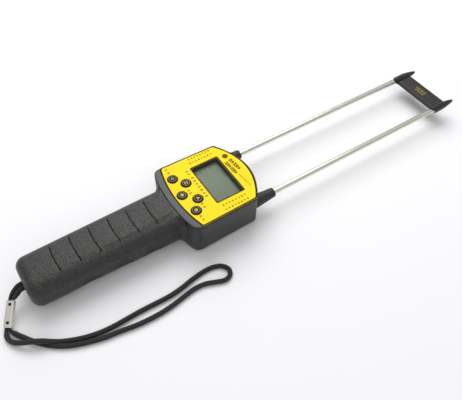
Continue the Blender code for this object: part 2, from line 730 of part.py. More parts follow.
def make_buttons():
    radius = BUTTON_DIAMETER / 2
    flange_top = CEILING - GAP
    flange_low = flange_top - 0.0010
    top = LABEL_TOP + BUTTON_PROUD
    base = STEM_LOW
    profile = [(0, top), (radius * 0.62, top - 0.0001), (radius - 0.0004, top - 0.0003),
               (radius, top - 0.0008), (radius, flange_top), (radius + FLANGE_EXTRA, flange_top),
               (radius + FLANGE_EXTRA, flange_low), (0.0018, flange_low), (0.0018, base), (0, base)]
    profile = [(r, z - LABEL_TOP) for r, z in profile]
    rubber = finish("button_rubber", (0.02, 0.019, 0.018), 0.6)
    for name, pitches, y in BUTTONS:
        x = pitches * BUTTON_PITCH
        add_object(f"button_{name}", turned_mesh(profile, 24), place=(x, y, LABEL_TOP),
                   material=rubber)
        make_switch(name, x, y)


def make_switch(name, x, y):
    """A tact switch under each button, its plunger clear of the stem at rest."""
    half = SWITCH_SIDE / 2
    body_top = SWITCH_TOP - 0.0005
    switch = add_object(f"switch_{name}",
                        block_mesh((x - half, y - half, SWITCH_BASE), (x + half, y + half, body_top)),
                        material=black_plastic())
    boolean(switch, merged(f"plunger_{name}",
                           [upright(0.0016, SWITCH_BASE + 0.0004, SWITCH_TOP, x, y, 12)]), "UNION")


# ---------------------------------------------------------------- probes
def make_rods():
    radius = ROD_DIAMETER / 2
    end = LENGTH - SOCKET_DEPTH - GAP - ROD_START
    profile = [(0, end), (radius - 0.0003, end), (radius, end - 0.0003),
               (radius, 0.0003), (radius - 0.0003, 0), (0, 0)]
    for name, side in (("left", -1), ("right", 1)):
        place = (side * ROD_X, ROD_START, ROD_Z)
        add_object(f"probe_rod_{name}", turned_mesh(profile, 20), place=place,
                   turn=ALONG_Y, material=steel())
        make_rod_fittings(name, side)


def make_rod_fittings(name, side):
    """Behind the head's front: a hexagon nut and a ring terminal; through it, the boot."""
    bore = ROD_DIAMETER / 2 + GAP
    x = side * ROD_X
    corner = NUT_ACROSS / math.sqrt(3)
    flat_bore = bore / math.cos(math.pi / 6)
    nut = turned_mesh([(corner, NUT_LENGTH), (corner, 0), (flat_bore, 0), (flat_bore, NUT_LENGTH)],
                      6, closed=True)
    add_object(f"rod_nut_{name}", nut, place=(x, NUT_START, ROD_Z), turn=ALONG_Y, material=brass())
    terminal = turned_mesh([(0.0044, TERMINAL_THICK), (0.0044, 0), (bore, 0), (bore, TERMINAL_THICK)],
                           18, closed=True)
    ring = add_object(f"rod_terminal_{name}", terminal, place=(x, TERMINAL_START, ROD_Z),
                      turn=ALONG_Y, material=nickel())
    tab = block_mesh((x - 0.0012, TERMINAL_START, ROD_Z - 0.0075),
                     (x + 0.0012, TERMINAL_START + TERMINAL_THICK, ROD_Z - 0.0040))
    boolean(ring, add_object(f"terminal_tab_{name}", tab), "UNION")
    grommet = [(BOOT_TIP_RADIUS - 0.0005, BOOT_END - COLLAR_START),
               (BOOT_TIP_RADIUS, BOOT_END - COLLAR_START - 0.0006),
               (BOOT_ROOT_RADIUS, HEAD_FRONT - 0.0095 - COLLAR_START),
               (BOOT_ROOT_RADIUS, COLLAR_LENGTH), (COLLAR_RADIUS, COLLAR_LENGTH),
               (COLLAR_RADIUS, 0), (bore, 0), (bore, BOOT_END - COLLAR_START)]
    add_object(f"probe_boot_{name}", turned_mesh(grommet, 24, closed=True),
               place=(x, COLLAR_START, ROD_Z), turn=ALONG_Y,
               material=finish("boot_rubber", (0.03, 0.032, 0.03), 0.5))


def make_bridge():
    """The moulded cross-piece that spaces the rods, with a pointed cap over each rod's end."""
    half = ROD_X
    middle = ROD_Z - 0.0012
    bar = add_object("probe_bridge",
                     block_mesh((-half, BRIDGE_REAR, middle - BRIDGE_THICK / 2),
                                (half, BRIDGE_REAR + BRIDGE_DEPTH, middle + BRIDGE_THICK / 2),
                                corner=0.0008, vertical_only=False, segments=2),
                     material=black_plastic())
    for name, side in (("left", -1), ("right", 1)):
        boolean(bar, add_object(f"fin_{name}", fin_mesh(side)), "UNION")
        boolean(bar, add_object(f"fin_slant_{name}", fin_slant_mesh(side)))
    sockets = [lengthwise(ROD_DIAMETER / 2 + GAP, FIN_REAR - 0.002, LENGTH - SOCKET_DEPTH,
                          side * ROD_X, ROD_Z) for side in (-1, 1)]
    boolean(bar, merged("rod_sockets", sockets))


def fin_mesh(side):
    """A pointed cap, like a leaf in plan, a little taller than it is wide."""
    length = LENGTH - FIN_REAR
    profile = [(0, length), (0.25, length - 0.0003), (0.36, length - 0.0012),
               (0.52, length - 0.0040), (0.82, length - 0.0110), (1.0, length - 0.0170),
               (1.0, 0.0060), (0.92, 0), (0, 0)]
    bm = turned_mesh([(r * FIN_HALF_HEIGHT, z) for r, z in profile], 20)
    bmesh.ops.rotate(bm, cent=(0, 0, 0), matrix=Matrix.Rotation(-math.pi / 2, 3, "X"),
                     verts=bm.verts)
    bmesh.ops.scale(bm, vec=(FIN_HALF_WIDTH / FIN_HALF_HEIGHT, 1, 1), verts=bm.verts)
    bmesh.ops.translate(bm, vec=(side * ROD_X, FIN_REAR, ROD_Z - 0.0002), verts=bm.verts)
    return bm


def fin_slant_mesh(side):
    """Cuts the rear of a cap at a slant: its lower outer side reaches furthest back."""
    bm = block_mesh((-0.012, -0.030, -0.012), (0.012, 0.0, 0.012))
    lean = Matrix.Rotation(math.radians(32), 3, "X") @ Matrix.Rotation(side * math.radians(14), 3, "Z")
    bmesh.ops.rotate(bm, cent=(0, 0, 0), matrix=lean, verts=bm.verts)
    bmesh.ops.translate(bm, vec=(side * ROD_X, FIN_REAR + 0.0026, ROD_Z), verts=bm.verts)
    return bm


# ---------------------------------------------------------------- screws
def make_screws():
    """Self-tapping screws up through the rear posts, their heads at the bottom of the wells."""
    head = 0.0018
    tip = SPLIT_Z + 0.0080 - SCREW_SEAT_Z
    profile = [(0, tip), (SCREW_SHANK_RADIUS, tip - 0.0012), (SCREW_SHANK_RADIUS, -GAP),
               (SCREW_HEAD_RADIUS, -GAP), (SCREW_HEAD_RADIUS, -head), (0, -head - 0.0004)]
    for name, x, y, _, _ in SCREWS:
        add_object(f"screw_{name}", turned_mesh(profile, 14), place=(x, y, SCREW_SEAT_Z),
                   material=steel())


# ---------------------------------------------------------------- strap and leads
def even_points(line, spacing):
    """Points at an even spacing along a fine line, both ends included."""
    total = sum((b - a).length for a, b in zip(line, line[1:]))
    count = max(1, round(total / spacing))
    picked, walked = [line[0]], 0.0
    for a, b in zip(line, line[1:]):
        step = (b - a).length
        while len(picked) < count and walked + step >= total / count * len(picked):
            picked.append(a.lerp(b, (total / count * len(picked) - walked) / step))
        walked += step
    return picked + [line[-1]]


def smooth_line(route, spacing, stops=()):
    """Points along a smooth curve through a route, with the route's points at stops kept."""
    fine = 24
    line = []
    for i in range(len(route) - 1):
        before = route[max(i - 1, 0)]
        start, end = route[i], route[i + 1]
        after = route[min(i + 2, len(route) - 1)]
        for step in range(fine):
            t = step / fine
            line.append(0.5 * (2 * start + (end - before) * t
                               + (2 * before - 5 * start + 4 * end - after) * t ** 2
                               + (3 * start - before - 3 * end + after) * t ** 3))
    line.append(route[-1])
    marks = [0, *(fine * i for i in stops), len(line) - 1]
    points = [line[0]]
    for first, last in zip(marks, marks[1:]):
        points += even_points(line[first:last + 1], spacing)[1:]
    return points


def tube(name, points, diameter, material, radii=None):
    curve = bpy.data.curves.new(name, "CURVE")
    curve.dimensions = "3D"
    curve.bevel_depth = diameter / 2
    curve.bevel_resolution = 2
    curve.use_fill_caps = True
    spline = curve.splines.new("POLY")
    spline.points.add(len(points) - 1)
    for index, point in enumerate(points):
        spline.points[index].co = (*point, 1.0)
        spline.points[index].radius = radii[index] if radii else 1.0
    curve.materials.append(material)
    made = bpy.data.objects.new(name, curve)
    made.parent = METER
    bpy.context.scene.collection.objects.link(made)
    return made


def strap_route():
    """The strap is one cord: out of the grip, through the crimp, round the loop and back."""
    lateral = CORD_SPACING / 2 * 1000
    exit_z = CORD_EXIT_Z * 1000
    out = [(-lateral, 5.6, exit_z), (-lateral, 1.0, exit_z), (-2.2, -3.6, exit_z - 0.4),
           (-1.3, -6.9, 17.8), (-0.4, -10.0, 15.6)]
    loop = [(25.9, -27.4, 2.3), (32.6, -24.8, 3.0), (37.9, -19.0, 5.2), (42.0, -12.0, 7.0),
            (45.4, -5.6, 6.6), (48.8, 0.8, 4.2), (52.2, 8.0, 2.3),
            (57.2, 20.1, 2.2), (60.4, 32.4, 2.2), (61.7, 44.6, 2.2), (61.7, 56.6, 2.2),
            (61.5, 68.6, 2.2), (61.9, 81.6, 2.2), (62.3, 95.6, 2.2), (61.2, 107.7, 2.2),
            (59.0, 119.2, 2.2), (57.6, 130.3, 2.2), (57.8, 139.7, 2.2), (60.6, 147.8, 2.2),
            (66.6, 151.8, 2.2), (72.2, 149.6, 2.2), (74.2, 143.6, 2.2), (71.6, 135.8, 2.2),
            (68.4, 127.4, 2.2), (67.5, 117.7, 2.2), (68.9, 107.2, 2.2), (71.1, 93.6, 2.2),
            (71.9, 79.6, 2.2), (70.9, 63.6, 2.2), (68.6, 49.6, 2.2), (66.5, 36.1, 2.2),
            (63.3, 24.1, 2.2), (59.4, 13.4, 2.2), (55.0, 5.2, 2.2), (49.6, -2.2, 2.2),
            (43.8, -8.0, 2.2), (37.9, -12.8, 2.2), (32.4, -16.8, 2.2), (26.2, -21.0, 2.4)]
    back = [(4.2, -9.2, 15.8), (3.1, -6.4, 17.8), (lateral, -3.6, exit_z - 0.4),
            (lateral, 1.0, exit_z), (lateral, 5.6, exit_z)]
    along = (CRIMP_END - CRIMP_START).normalized()
    aside = along.cross(Vector((0, 0, 1))).normalized() * (CORD_DIAMETER * CORD_NECK + GAP) / 2
    inside = [CRIMP_START.lerp(CRIMP_END, share) for share in (-0.04, 0.33, 0.67, 1.04)]
    out, loop, back = ([Vector(p) / 1000 for p in part] for part in (out, loop, back))
    route = (out + [p + aside for p in inside] + loop
             + [p - aside for p in reversed(inside)] + back)
    first, second = len(out), len(out) + len(inside) + len(loop)
    return route, (first, first + 3, second, second + 3)


def crimp_share(point):
    """1 inside the crimp, falling to 0 a little way outside its mouths."""
    along = CRIMP_END - CRIMP_START
    at = (point - CRIMP_START).dot(along) / along.length_squared
    off_axis = (point - CRIMP_START - along * at).length
    if off_axis > 0.006:
        return 0.0
    outside = max(-at, at - 1.0, 0.0) * along.length
    return min(1.0, max(0.0, 1.2 - outside / 0.005))


def make_strap():
    route, mouths = strap_route()
    points = smooth_line(route, CORD_DIAMETER * 1.7, mouths)
    radii = [mix(1.0, CORD_NECK, crimp_share(p)) for p in points]
    tube("wrist_cord", points, CORD_DIAMETER, finish("black_nylon", (0.02, 0.02, 0.022), 0.8), radii)
    make_crimp()
    make_strap_anchor()


def make_crimp():
    """A folded sheet-metal sleeve with two punched windows, squeezed on the two strands."""
    wide, high, long = CRIMP_SIZE
    bm = block_mesh((-wide / 2, -high / 2, -long / 2), (wide / 2, high / 2, long / 2),
                    corner=0.0012)
    direction = CRIMP_END - CRIMP_START
    frame = direction.to_track_quat("Z", "Y").to_matrix().to_4x4()
    place = (CRIMP_START + CRIMP_END) / 2
    lie = Matrix.Translation(place) @ frame
    crimp = add_object("strap_crimp", bm, material=nickel())
    crimp.matrix_local = lie
    sheet = CRIMP_SHEET
    bore = block_mesh((-wide / 2 + sheet, -high / 2 + sheet, -long),
                      (wide / 2 - sheet, high / 2 - sheet, long), corner=0.0008)
    tool = add_object("crimp_bore", bore)
    tool.matrix_local = lie
    boolean(crimp, tool)
    for index, share in enumerate((-0.36, 0.32)):
        window = block_mesh((-0.0011, 0.0, long * share - 0.0011), (0.0011, high, long * share + 0.0011))
        tool = add_object(f"crimp_window_{index}", window)
        tool.matrix_local = lie
        boolean(crimp, tool)


def make_strap_anchor():
    """The block behind the grip's end wall that holds both ends of the cord."""
    block = add_object("strap_anchor",
                       block_mesh((-0.0080, WALL + GAP, CORD_EXIT_Z - 0.0045),
                                  (0.0080, 0.0095, CORD_EXIT_Z + 0.0045), corner=0.0008),
                       material=black_plastic())
    reach = CORD_DIAMETER / 2 + GAP + 0.0001
    sockets = [lengthwise(reach, 0.0, 0.0056 + GAP, side * CORD_SPACING / 2, CORD_EXIT_Z, 16)
               for side in (-1, 1)]
    for index, socket in enumerate(sockets):
        boolean(block, add_object(f"anchor_socket_{index}", socket))


def make_leads():
    """Thin insulated leads from the cells and from the rods to the board."""
    mm = 0.001
    board = BOARD_LOW / mm - 0.9
    tab = TERMINAL_START / mm
    drop = ROD_Z / mm - 8.4
    cells = CELLS_END / mm
    neck = NECK_END / mm
    routes = {}
    for name, side in (("red", -1), ("black", 1)):
        x = 9.0 * side
        routes[f"battery_lead_{name}"] = [
            (x, cells + 0.5, CELL_Z / mm + 5.9), (x, cells + 2.7, CELL_Z / mm + 9.0),
            (x, cells + 8.2, 21.0), (x, neck - 15.5, 22.0), (x * 1.05, neck - 3.5, 23.5),
            (x * 1.1, neck + 3.5, board)]
    for name, side in (("left", -1), ("right", 1)):
        routes[f"rod_lead_{name}"] = [
            (28.0 * side, tab, drop), (27.0 * side, tab - 4.0, drop - 0.6),
            (24.0 * side, tab - 10.0, drop + 1.4), (21.0 * side, tab - 16.0, drop + 8.4),
            (19.0 * side, tab - 22.0, board)]
    for name, route in routes.items():
        colour = (0.5, 0.03, 0.03) if "red" in name else (0.03, 0.03, 0.03)
        insulation = finish("red_pvc" if "red" in name else "black_pvc", colour, 0.5)
        points = smooth_line([Vector(p) * mm for p in route], LEAD_DIAMETER * 3.0)
        tube(name, points, LEAD_DIAMETER, insulation)


clear_scene()
METER = whole_meter()
make_front_shell()
make_rear_shell()
make_battery_door()
make_cells()
make_contacts()
make_label()
make_bezel()
make_display()
make_board()
make_buttons()
make_rods()
make_bridge()
make_screws()
make_strap()
make_leads()
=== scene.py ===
"""Hand-held grain moisture meter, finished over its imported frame.

Lengths are metres in the frame's own axes: +Y to the probe tips, +X across the face, +Z up out
of the face.  Most places are written in millimetres from the grip's end face, and at() turns
them into the frame.
"""

import math

import bmesh
import bpy
from mathutils import Matrix, Vector


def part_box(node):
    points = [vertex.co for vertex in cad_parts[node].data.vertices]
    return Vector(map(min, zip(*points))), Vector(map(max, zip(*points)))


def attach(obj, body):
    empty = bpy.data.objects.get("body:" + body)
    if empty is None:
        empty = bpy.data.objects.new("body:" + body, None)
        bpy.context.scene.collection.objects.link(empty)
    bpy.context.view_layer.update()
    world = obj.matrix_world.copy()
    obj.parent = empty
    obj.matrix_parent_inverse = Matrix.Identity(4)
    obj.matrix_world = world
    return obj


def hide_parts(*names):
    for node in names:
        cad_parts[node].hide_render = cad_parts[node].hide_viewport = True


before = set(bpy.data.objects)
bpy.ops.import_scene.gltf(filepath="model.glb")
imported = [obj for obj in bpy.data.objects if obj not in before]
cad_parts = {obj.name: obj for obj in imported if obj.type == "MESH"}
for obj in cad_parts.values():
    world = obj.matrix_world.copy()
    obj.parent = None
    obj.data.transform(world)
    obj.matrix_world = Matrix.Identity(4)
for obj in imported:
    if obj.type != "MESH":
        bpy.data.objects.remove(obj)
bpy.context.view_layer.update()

# ---- Studio ---------------------------------------------------------------------------------
# A pale table, a broad soft box from the left and behind, a weak fill from the viewer's side and
# a white room that is darker near the horizon, so that the polished rods have edges.
GRIP_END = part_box("front_shell")[0][1] * 1000      # the grip's end face along Y, in mm


def at(x, y, z):
    """A place given in mm from the grip's end face, in the frame."""
    return Vector((x, y + GRIP_END, z)) / 1000


def linear(code):
    """An sRGB hex colour as linear numbers with an alpha of 1."""
    parts = [int(code[i:i + 2], 16) / 255 for i in (1, 3, 5)]
    return (*[c / 12.92 if c <= 0.04045 else ((c + 0.055) / 1.055) ** 2.4 for c in parts], 1.0)


def add_node(tree, kind, inputs=None, **settings):
    """Adds a node with its settings; an input is a number, a colour or another node's output."""
    made = tree.nodes.new(kind)
    for name, value in settings.items():
        setattr(made, name, value)
    for name, value in (inputs or {}).items():
        if isinstance(value, bpy.types.NodeSocket):
            tree.links.new(value, made.inputs[name])
        else:
            made.inputs[name].default_value = value
    return made


def new_finish(name, colour, roughness, **sockets):
    """A material with one Principled shader; returns the material, its tree and the shader."""
    material = bpy.data.materials.new(name)
    material.use_nodes = True
    tree = material.node_tree
    shader = tree.nodes["Principled BSDF"]
    shader.inputs["Base Color"].default_value = linear(colour)
    shader.inputs["Roughness"].default_value = roughness
    for socket, value in sockets.items():
        shader.inputs[socket.replace("_", " ")].default_value = value
    return material, tree, shader


def turned_camera(azimuth, elevation, roll):
    """The turn of a camera that looks from that azimuth and elevation, in degrees."""
    a, e = math.radians(azimuth), math.radians(elevation)
    back = Vector((math.sin(a) * math.cos(e), -math.cos(a) * math.cos(e), math.sin(e)))
    right = Vector((0, 0, 1)).cross(back).normalized()
    up = back.cross(right)
    turn = Matrix((right, up, back)).transposed()
    return turn @ Matrix.Rotation(math.radians(roll), 3, "Z")


lens = bpy.data.cameras.new("camera")
lens.lens = 41.87
lens.sensor_width = 36.0
lens.clip_start = 0.01
camera = bpy.data.objects.new("camera", lens)
camera.matrix_world = (Matrix.Translation(at(262.95, 16.41, 401.11))
                       @ turned_camera(55.372, 51.822, 1.8126).to_4x4())
bpy.context.collection.objects.link(camera)
bpy.context.scene.camera = camera
bpy.context.scene.view_settings.view_transform = "Standard"


def soft_box(name, place, size, watts):
    lamp = bpy.data.lights.new(name, "AREA")
    lamp.shape = "DISK"
    lamp.size = size
    lamp.energy = watts
    made = bpy.data.objects.new(name, lamp)
    aim = at(10, 170, 10) - place
    made.matrix_world = (Matrix.Translation(place)
                         @ aim.to_track_quat("-Z", "Y").to_matrix().to_4x4())
    bpy.context.collection.objects.link(made)


soft_box("key", at(-640, 440, 980), 1.1, 10.5)
soft_box("fill", at(760, 100, 620), 1.0, 0.8)

world = bpy.data.worlds.new("room")
bpy.context.scene.world = world
world.use_nodes = True
room = world.node_tree
sky = add_node(room, "ShaderNodeTexCoord")
height = add_node(room, "ShaderNodeSeparateXYZ", {"Vector": sky.outputs["Generated"]})
shade = add_node(room, "ShaderNodeMapRange", {"Value": height.outputs["Z"], "From Min": 0.0,
                                              "From Max": 0.8, "To Min": 0.35, "To Max": 1.0})
room.links.new(shade.outputs["Result"], room.nodes["Background"].inputs["Color"])
room.nodes["Background"].inputs["Strength"].default_value = 0.70

ground = bmesh.new()
bmesh.ops.create_grid(ground, x_segments=4, y_segments=4, size=6.0)
floor_mesh = bpy.data.meshes.new("table_top")
ground.to_mesh(floor_mesh)
ground.free()
floor = bpy.data.objects.new("table_top", floor_mesh)
bpy.context.collection.objects.link(floor)
table_top = new_finish("matt_white_laminate", "#f1f1f3", 0.9)[0]
floor_mesh.materials.append(table_top)

# ---- Wrist cord ------------------------------------------------------------------------------
# One length of round braided nylon.  Both ends go in through the hole in the grip's end and are
# held behind it; a crimped sleeve draws the two strands together and leaves the long loop.
CORD = 4.2                         # thickness; the sleeve squeezes it to CORD_NECK of this
EXIT_Z = 19.5
CORD_NECK = 0.57
strand = (CORD + 0.4) / 2
crimp_start = at(3.0, -13.2, 12.2)
crimp_end = at(18.6, -24.2, 3.0)


def finish_mesh(bm, name, materials, smooth=32):
    """Makes an object of a bmesh, smooth but for edges sharper than that many degrees."""
    mesh = bpy.data.meshes.new(name)
    bm.to_mesh(mesh)
    bm.free()
    for material in materials:
        mesh.materials.append(material)
    mesh.shade_smooth()
    mesh.set_sharp_from_angle(angle=math.radians(smooth))
    made = bpy.data.objects.new(name, mesh)
    bpy.context.collection.objects.link(made)
    return made


def smooth_route(route, fine):
    """A fine line along a smooth curve through the route's points."""
    line = []
    for i in range(len(route) - 1):
        before, start = route[max(i - 1, 0)], route[i]
        end, after = route[i + 1], route[min(i + 2, len(route) - 1)]
        for step in range(fine):
            t = step / fine
            line.append(0.5 * (2 * start + (end - before) * t
                               + (2 * before - 5 * start + 4 * end - after) * t ** 2
                               + (3 * start - before - 3 * end + after) * t ** 3))
    return line + [route[-1]]


def tube_mesh(line, radius, sides, thin=None):
    """A closed tube along a line.  Each point keeps its turn round the tube and its way along."""
    bm = bmesh.new()
    weave = bm.verts.layers.float_vector.new("weave")
    side = Vector((0, 0, 1)).cross(line[1] - line[0]).normalized()
    rings, walked = [], 0.0
    for i, point in enumerate(line):
        ahead = (line[min(i + 1, len(line) - 1)] - line[max(i - 1, 0)]).normalized()
        side = (side - ahead * side.dot(ahead)).normalized()
        over = ahead.cross(side)
        share = thin[i] if thin else 1.0
        ring = bmesh.ops.create_circle(bm, segments=sides, radius=radius * share)["verts"]
        if i:
            walked += (point - line[i - 1]).length
        for k, vert in enumerate(ring):
            vert[weave] = (math.cos(math.tau * k / sides), math.sin(math.tau * k / sides), walked)
        turn = Matrix((side, over, ahead)).transposed().to_4x4()
        bmesh.ops.transform(bm, matrix=Matrix.Translation(point) @ turn, verts=ring)
        rings.append(ring)
    loops = [list({e for v in ring for e in v.link_edges}) for ring in rings]
    for near, far in zip(loops, loops[1:]):
        bmesh.ops.bridge_loops(bm, edges=near + far)
    bmesh.ops.contextual_create(bm, geom=loops[0])
    bmesh.ops.contextual_create(bm, geom=loops[-1])
    bmesh.ops.recalc_face_normals(bm, faces=bm.faces)
    return bm


def maths(tree, operation, *values):
    """The output of one Math node."""
    return add_node(tree, "ShaderNodeMath", dict(enumerate(values)), operation=operation).outputs[0]


def between_colours(tree, shader, share, dark, light):
    """Runs the shader's colour from dark to light as the share rises; returns the ramp."""
    ramp = add_node(tree, "ShaderNodeValToRGB", {"Fac": share})
    ramp.color_ramp.elements[0].color = linear(dark)
    ramp.color_ramp.elements[1].color = linear(light)
    tree.links.new(ramp.outputs["Color"], shader.inputs["Base Color"])
    return ramp.color_ramp


def emboss(tree, shader, height, strength, distance):
    """Lets a height tilt the shader's normal; the distance is in metres."""
    bump = add_node(tree, "ShaderNodeBump", {"Height": height, "Strength": strength,
                                             "Distance": distance})
    tree.links.new(bump.outputs["Normal"], shader.inputs["Normal"])


def braided_nylon():
    """Braided nylon: sixteen carriers cross in small diamonds, dull with a faint sheen; painted shade
    darkens the crevices between them.
    """
    carriers, diamond_length = 16, 0.0034
    material, tree, shader = new_finish("braided_black_nylon", "#121314", 0.66, Sheen_Weight=0.1)
    weave = add_node(tree, "ShaderNodeAttribute", attribute_name="weave")
    parts = add_node(tree, "ShaderNodeSeparateXYZ", {"Vector": weave.outputs["Vector"]})
    angle = maths(tree, "ARCTAN2", parts.outputs["Y"], parts.outputs["X"])
    turns = maths(tree, "MULTIPLY", angle, carriers / 2 / math.tau)
    along = maths(tree, "MULTIPLY", parts.outputs["Z"], 1 / diamond_length)
    heights = []
    for operation in ("ADD", "SUBTRACT"):
        lane = maths(tree, operation, turns, along)
        crest = maths(tree, "SINE", maths(tree, "MULTIPLY", lane, math.pi))
        heights.append(maths(tree, "ABSOLUTE", crest))
    diamond = maths(tree, "MULTIPLY", *heights)
    # Painted shade: the colour runs from near black in the crevices between the carriers to dark grey on
    # their crests, following the weave's bump.
    between_colours(tree, shader, diamond, "#040505", "#161819")
    emboss(tree, shader, diamond, 0.8, 0.0004)
    return material


out = [(-strand, 5.6, EXIT_Z), (-strand, 1.0, EXIT_Z), (-2.2, -3.6, 19.1), (-1.3, -6.9, 17.8),
       (-0.4, -10.0, 15.6)]
loop = [(25.9, -27.4, 2.3), (32.6, -24.8, 3.0), (37.9, -19.0, 5.2), (42.0, -12.0, 7.0),
        (45.4, -5.6, 6.6), (48.8, 0.8, 4.2), (52.2, 8.0, 2.3),
        (57.2, 20.1, 2.2), (60.4, 32.4, 2.2), (61.7, 44.6, 2.2), (61.7, 56.6, 2.2),
        (61.5, 68.6, 2.2), (61.9, 81.6, 2.2), (62.3, 95.6, 2.2), (61.2, 107.7, 2.2),
        (59.0, 119.2, 2.2), (57.6, 130.3, 2.2), (57.8, 139.7, 2.2), (60.6, 147.8, 2.2),
        (66.6, 151.8, 2.2), (72.2, 149.6, 2.2), (74.2, 143.6, 2.2), (71.6, 135.8, 2.2),
        (68.4, 127.4, 2.2), (67.5, 117.7, 2.2), (68.9, 107.2, 2.2), (71.1, 93.6, 2.2),
        (71.9, 79.6, 2.2), (70.9, 63.6, 2.2), (68.6, 49.6, 2.2), (66.5, 36.1, 2.2),
        (63.3, 24.1, 2.2), (59.4, 13.4, 2.2), (55.0, 5.2, 2.2), (49.6, -2.2, 2.2),
        (43.8, -8.0, 2.2), (37.9, -12.8, 2.2), (32.4, -16.8, 2.2), (26.2, -21.0, 2.4)]
back = [(4.2, -9.2, 15.8), (3.1, -6.4, 17.8), (strand, -3.6, 19.1), (strand, 1.0, EXIT_Z),
        (strand, 5.6, EXIT_Z)]
sleeve_way = (crimp_end - crimp_start).normalized()
aside = sleeve_way.cross(Vector((0, 0, 1))).normalized() * (CORD * CORD_NECK + 0.3) / 2000
inside = [crimp_start.lerp(crimp_end, share) for share in (-0.04, 0.33, 0.67, 1.04)]
route = ([at(*p) for p in out] + [p + aside for p in inside] + [at(*p) for p in loop]
         + [p - aside for p in reversed(inside)] + [at(*p) for p in back])
line = smooth_route(route, 6)


def squeeze(point):
    """The share of its thickness that the cord keeps, least inside the crimp."""
    along = crimp_end - crimp_start
    share = (point - crimp_start).dot(along) / along.length_squared
    if (point - crimp_start - along * share).length > 0.006:
        return 1.0
    clear = max(-share, share - 1.0, 0.0) * along.length
    gone = min(1.0, max(0.0, 1.2 - clear / 0.005))
    return 1.0 + (CORD_NECK - 1.0) * gone


cord = finish_mesh(tube_mesh(line, CORD / 2000, 18, [squeeze(p) for p in line]), "wrist_cord_braid",
                   [braided_nylon()])
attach(cord, "meter")
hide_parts("wrist_cord")

# ---- Crimp sleeve ----------------------------------------------------------------------------
# A strip of nickel-plated steel folded round both strands and pressed flat; its edges meet in a
# seam underneath, and two square windows are punched through its upper face.


def carve(piece, tool, operation="DIFFERENCE"):
    """Cuts, joins or trims a piece with a tool, which is used up."""
    change = piece.modifiers.new("carve", "BOOLEAN")
    change.operation = operation
    change.solver = "EXACT"
    change.object = tool
    graph = bpy.context.evaluated_depsgraph_get()
    old = piece.data
    piece.data = bpy.data.meshes.new_from_object(piece.evaluated_get(graph))
    piece.data.name = old.name
    piece.modifiers.clear()
    bpy.data.meshes.remove(old)
    bpy.data.objects.remove(tool)


def reshade(piece, smooth=32):
    piece.data.shade_smooth()
    piece.data.set_sharp_from_angle(angle=math.radians(smooth))


def slab(low, high, corner=0.0, edge=0.0, steps=5):
    """A block between two corners, in mm, with rounded upright edges and softened rims."""
    low, high = at(*low), at(*high)
    bm = bmesh.new()
    bmesh.ops.create_cube(bm, size=1.0)
    bmesh.ops.scale(bm, vec=high - low, verts=bm.verts)
    bmesh.ops.translate(bm, vec=(low + high) / 2, verts=bm.verts)
    upright = [e for e in bm.edges if abs(e.verts[0].co.z - e.verts[1].co.z) > 1e-6]
    if corner:
        bmesh.ops.bevel(bm, geom=upright, offset=corner / 1000, segments=steps, profile=0.5,
                        affect="EDGES", material=-1)
    if edge:
        flat = [f for f in bm.faces if abs(f.normal.z) > 0.99]
        rims = list({e for f in flat for e in f.edges})
        bmesh.ops.bevel(bm, geom=rims, offset=edge / 1000, segments=2, profile=0.5,
                        affect="EDGES", material=-1)
    return bm


def object_noise(tree, scale, detail=2.0):
    """Noise fixed to the piece, with about that many features to the metre."""
    place = add_node(tree, "ShaderNodeTexCoord")
    return add_node(tree, "ShaderNodeTexNoise", {"Vector": place.outputs["Object"], "Scale": scale,
                                                 "Detail": detail}).outputs["Fac"]


def rough_between(tree, shader, share, low, high):
    rough = add_node(tree, "ShaderNodeMapRange", {"Value": share, "To Min": low, "To Max": high})
    tree.links.new(rough.outputs["Result"], shader.inputs["Roughness"])


def nickel_plate():
    """Bright nickel over steel strip: mirror-like with fine rubbing marks."""
    material, tree, shader = new_finish("bright_nickel_plate", "#dedbd2", 0.16, Metallic=1.0)
    marks = object_noise(tree, 900.0, 3.0)
    rough_between(tree, shader, marks, 0.06, 0.24)
    emboss(tree, shader, marks, 0.15, 0.0002)
    return material


nickel = nickel_plate()
sleeve_turn = sleeve_way.to_track_quat("Z", "Y").to_matrix().to_4x4()
sleeve_place = Matrix.Translation((crimp_start + crimp_end) / 2) @ sleeve_turn
SLEEVE = (6.7, 4.6, 21.0)
SHEET = 0.5


def sleeve_block(wide, high, long, corner, centre=(0, 0, 0)):
    """A bar along the sleeve's own length with rounded long edges."""
    bm = bmesh.new()
    bmesh.ops.create_cube(bm, size=1.0)
    bmesh.ops.scale(bm, vec=Vector((wide, high, long)) / 1000, verts=bm.verts)
    edges = [e for e in bm.edges if abs(e.verts[0].co.z - e.verts[1].co.z) > 1e-6]
    bmesh.ops.bevel(bm, geom=edges, offset=corner / 1000, segments=5, profile=0.5,
                    affect="EDGES", material=-1)
    bmesh.ops.translate(bm, vec=Vector(centre) / 1000, verts=bm.verts)
    bmesh.ops.transform(bm, matrix=sleeve_place, verts=bm.verts)
    return bm


sleeve = finish_mesh(sleeve_block(*SLEEVE, 1.3), "crimp_sleeve", [nickel])
cuts = [sleeve_block(SLEEVE[0] - 2 * SHEET, SLEEVE[1] - 2 * SHEET, 30, 0.8)]
cuts += [sleeve_block(2.2, 3, 2.2, 0.25, (0, 2.4, SLEEVE[2] * share)) for share in (-0.36, 0.32)]
cuts.append(sleeve_block(0.25, 1.2, 30, 0.05, (0.4, -2.4, 0)))
for cut in cuts:
    carve(sleeve, finish_mesh(cut, "cut", []))
reshade(sleeve)
soften = sleeve.modifiers.new("rolled edges", "BEVEL")
soften.width = 0.00012
soften.segments = 2
soften.limit_method = "ANGLE"
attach(sleeve, "meter")
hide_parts("strap_crimp")

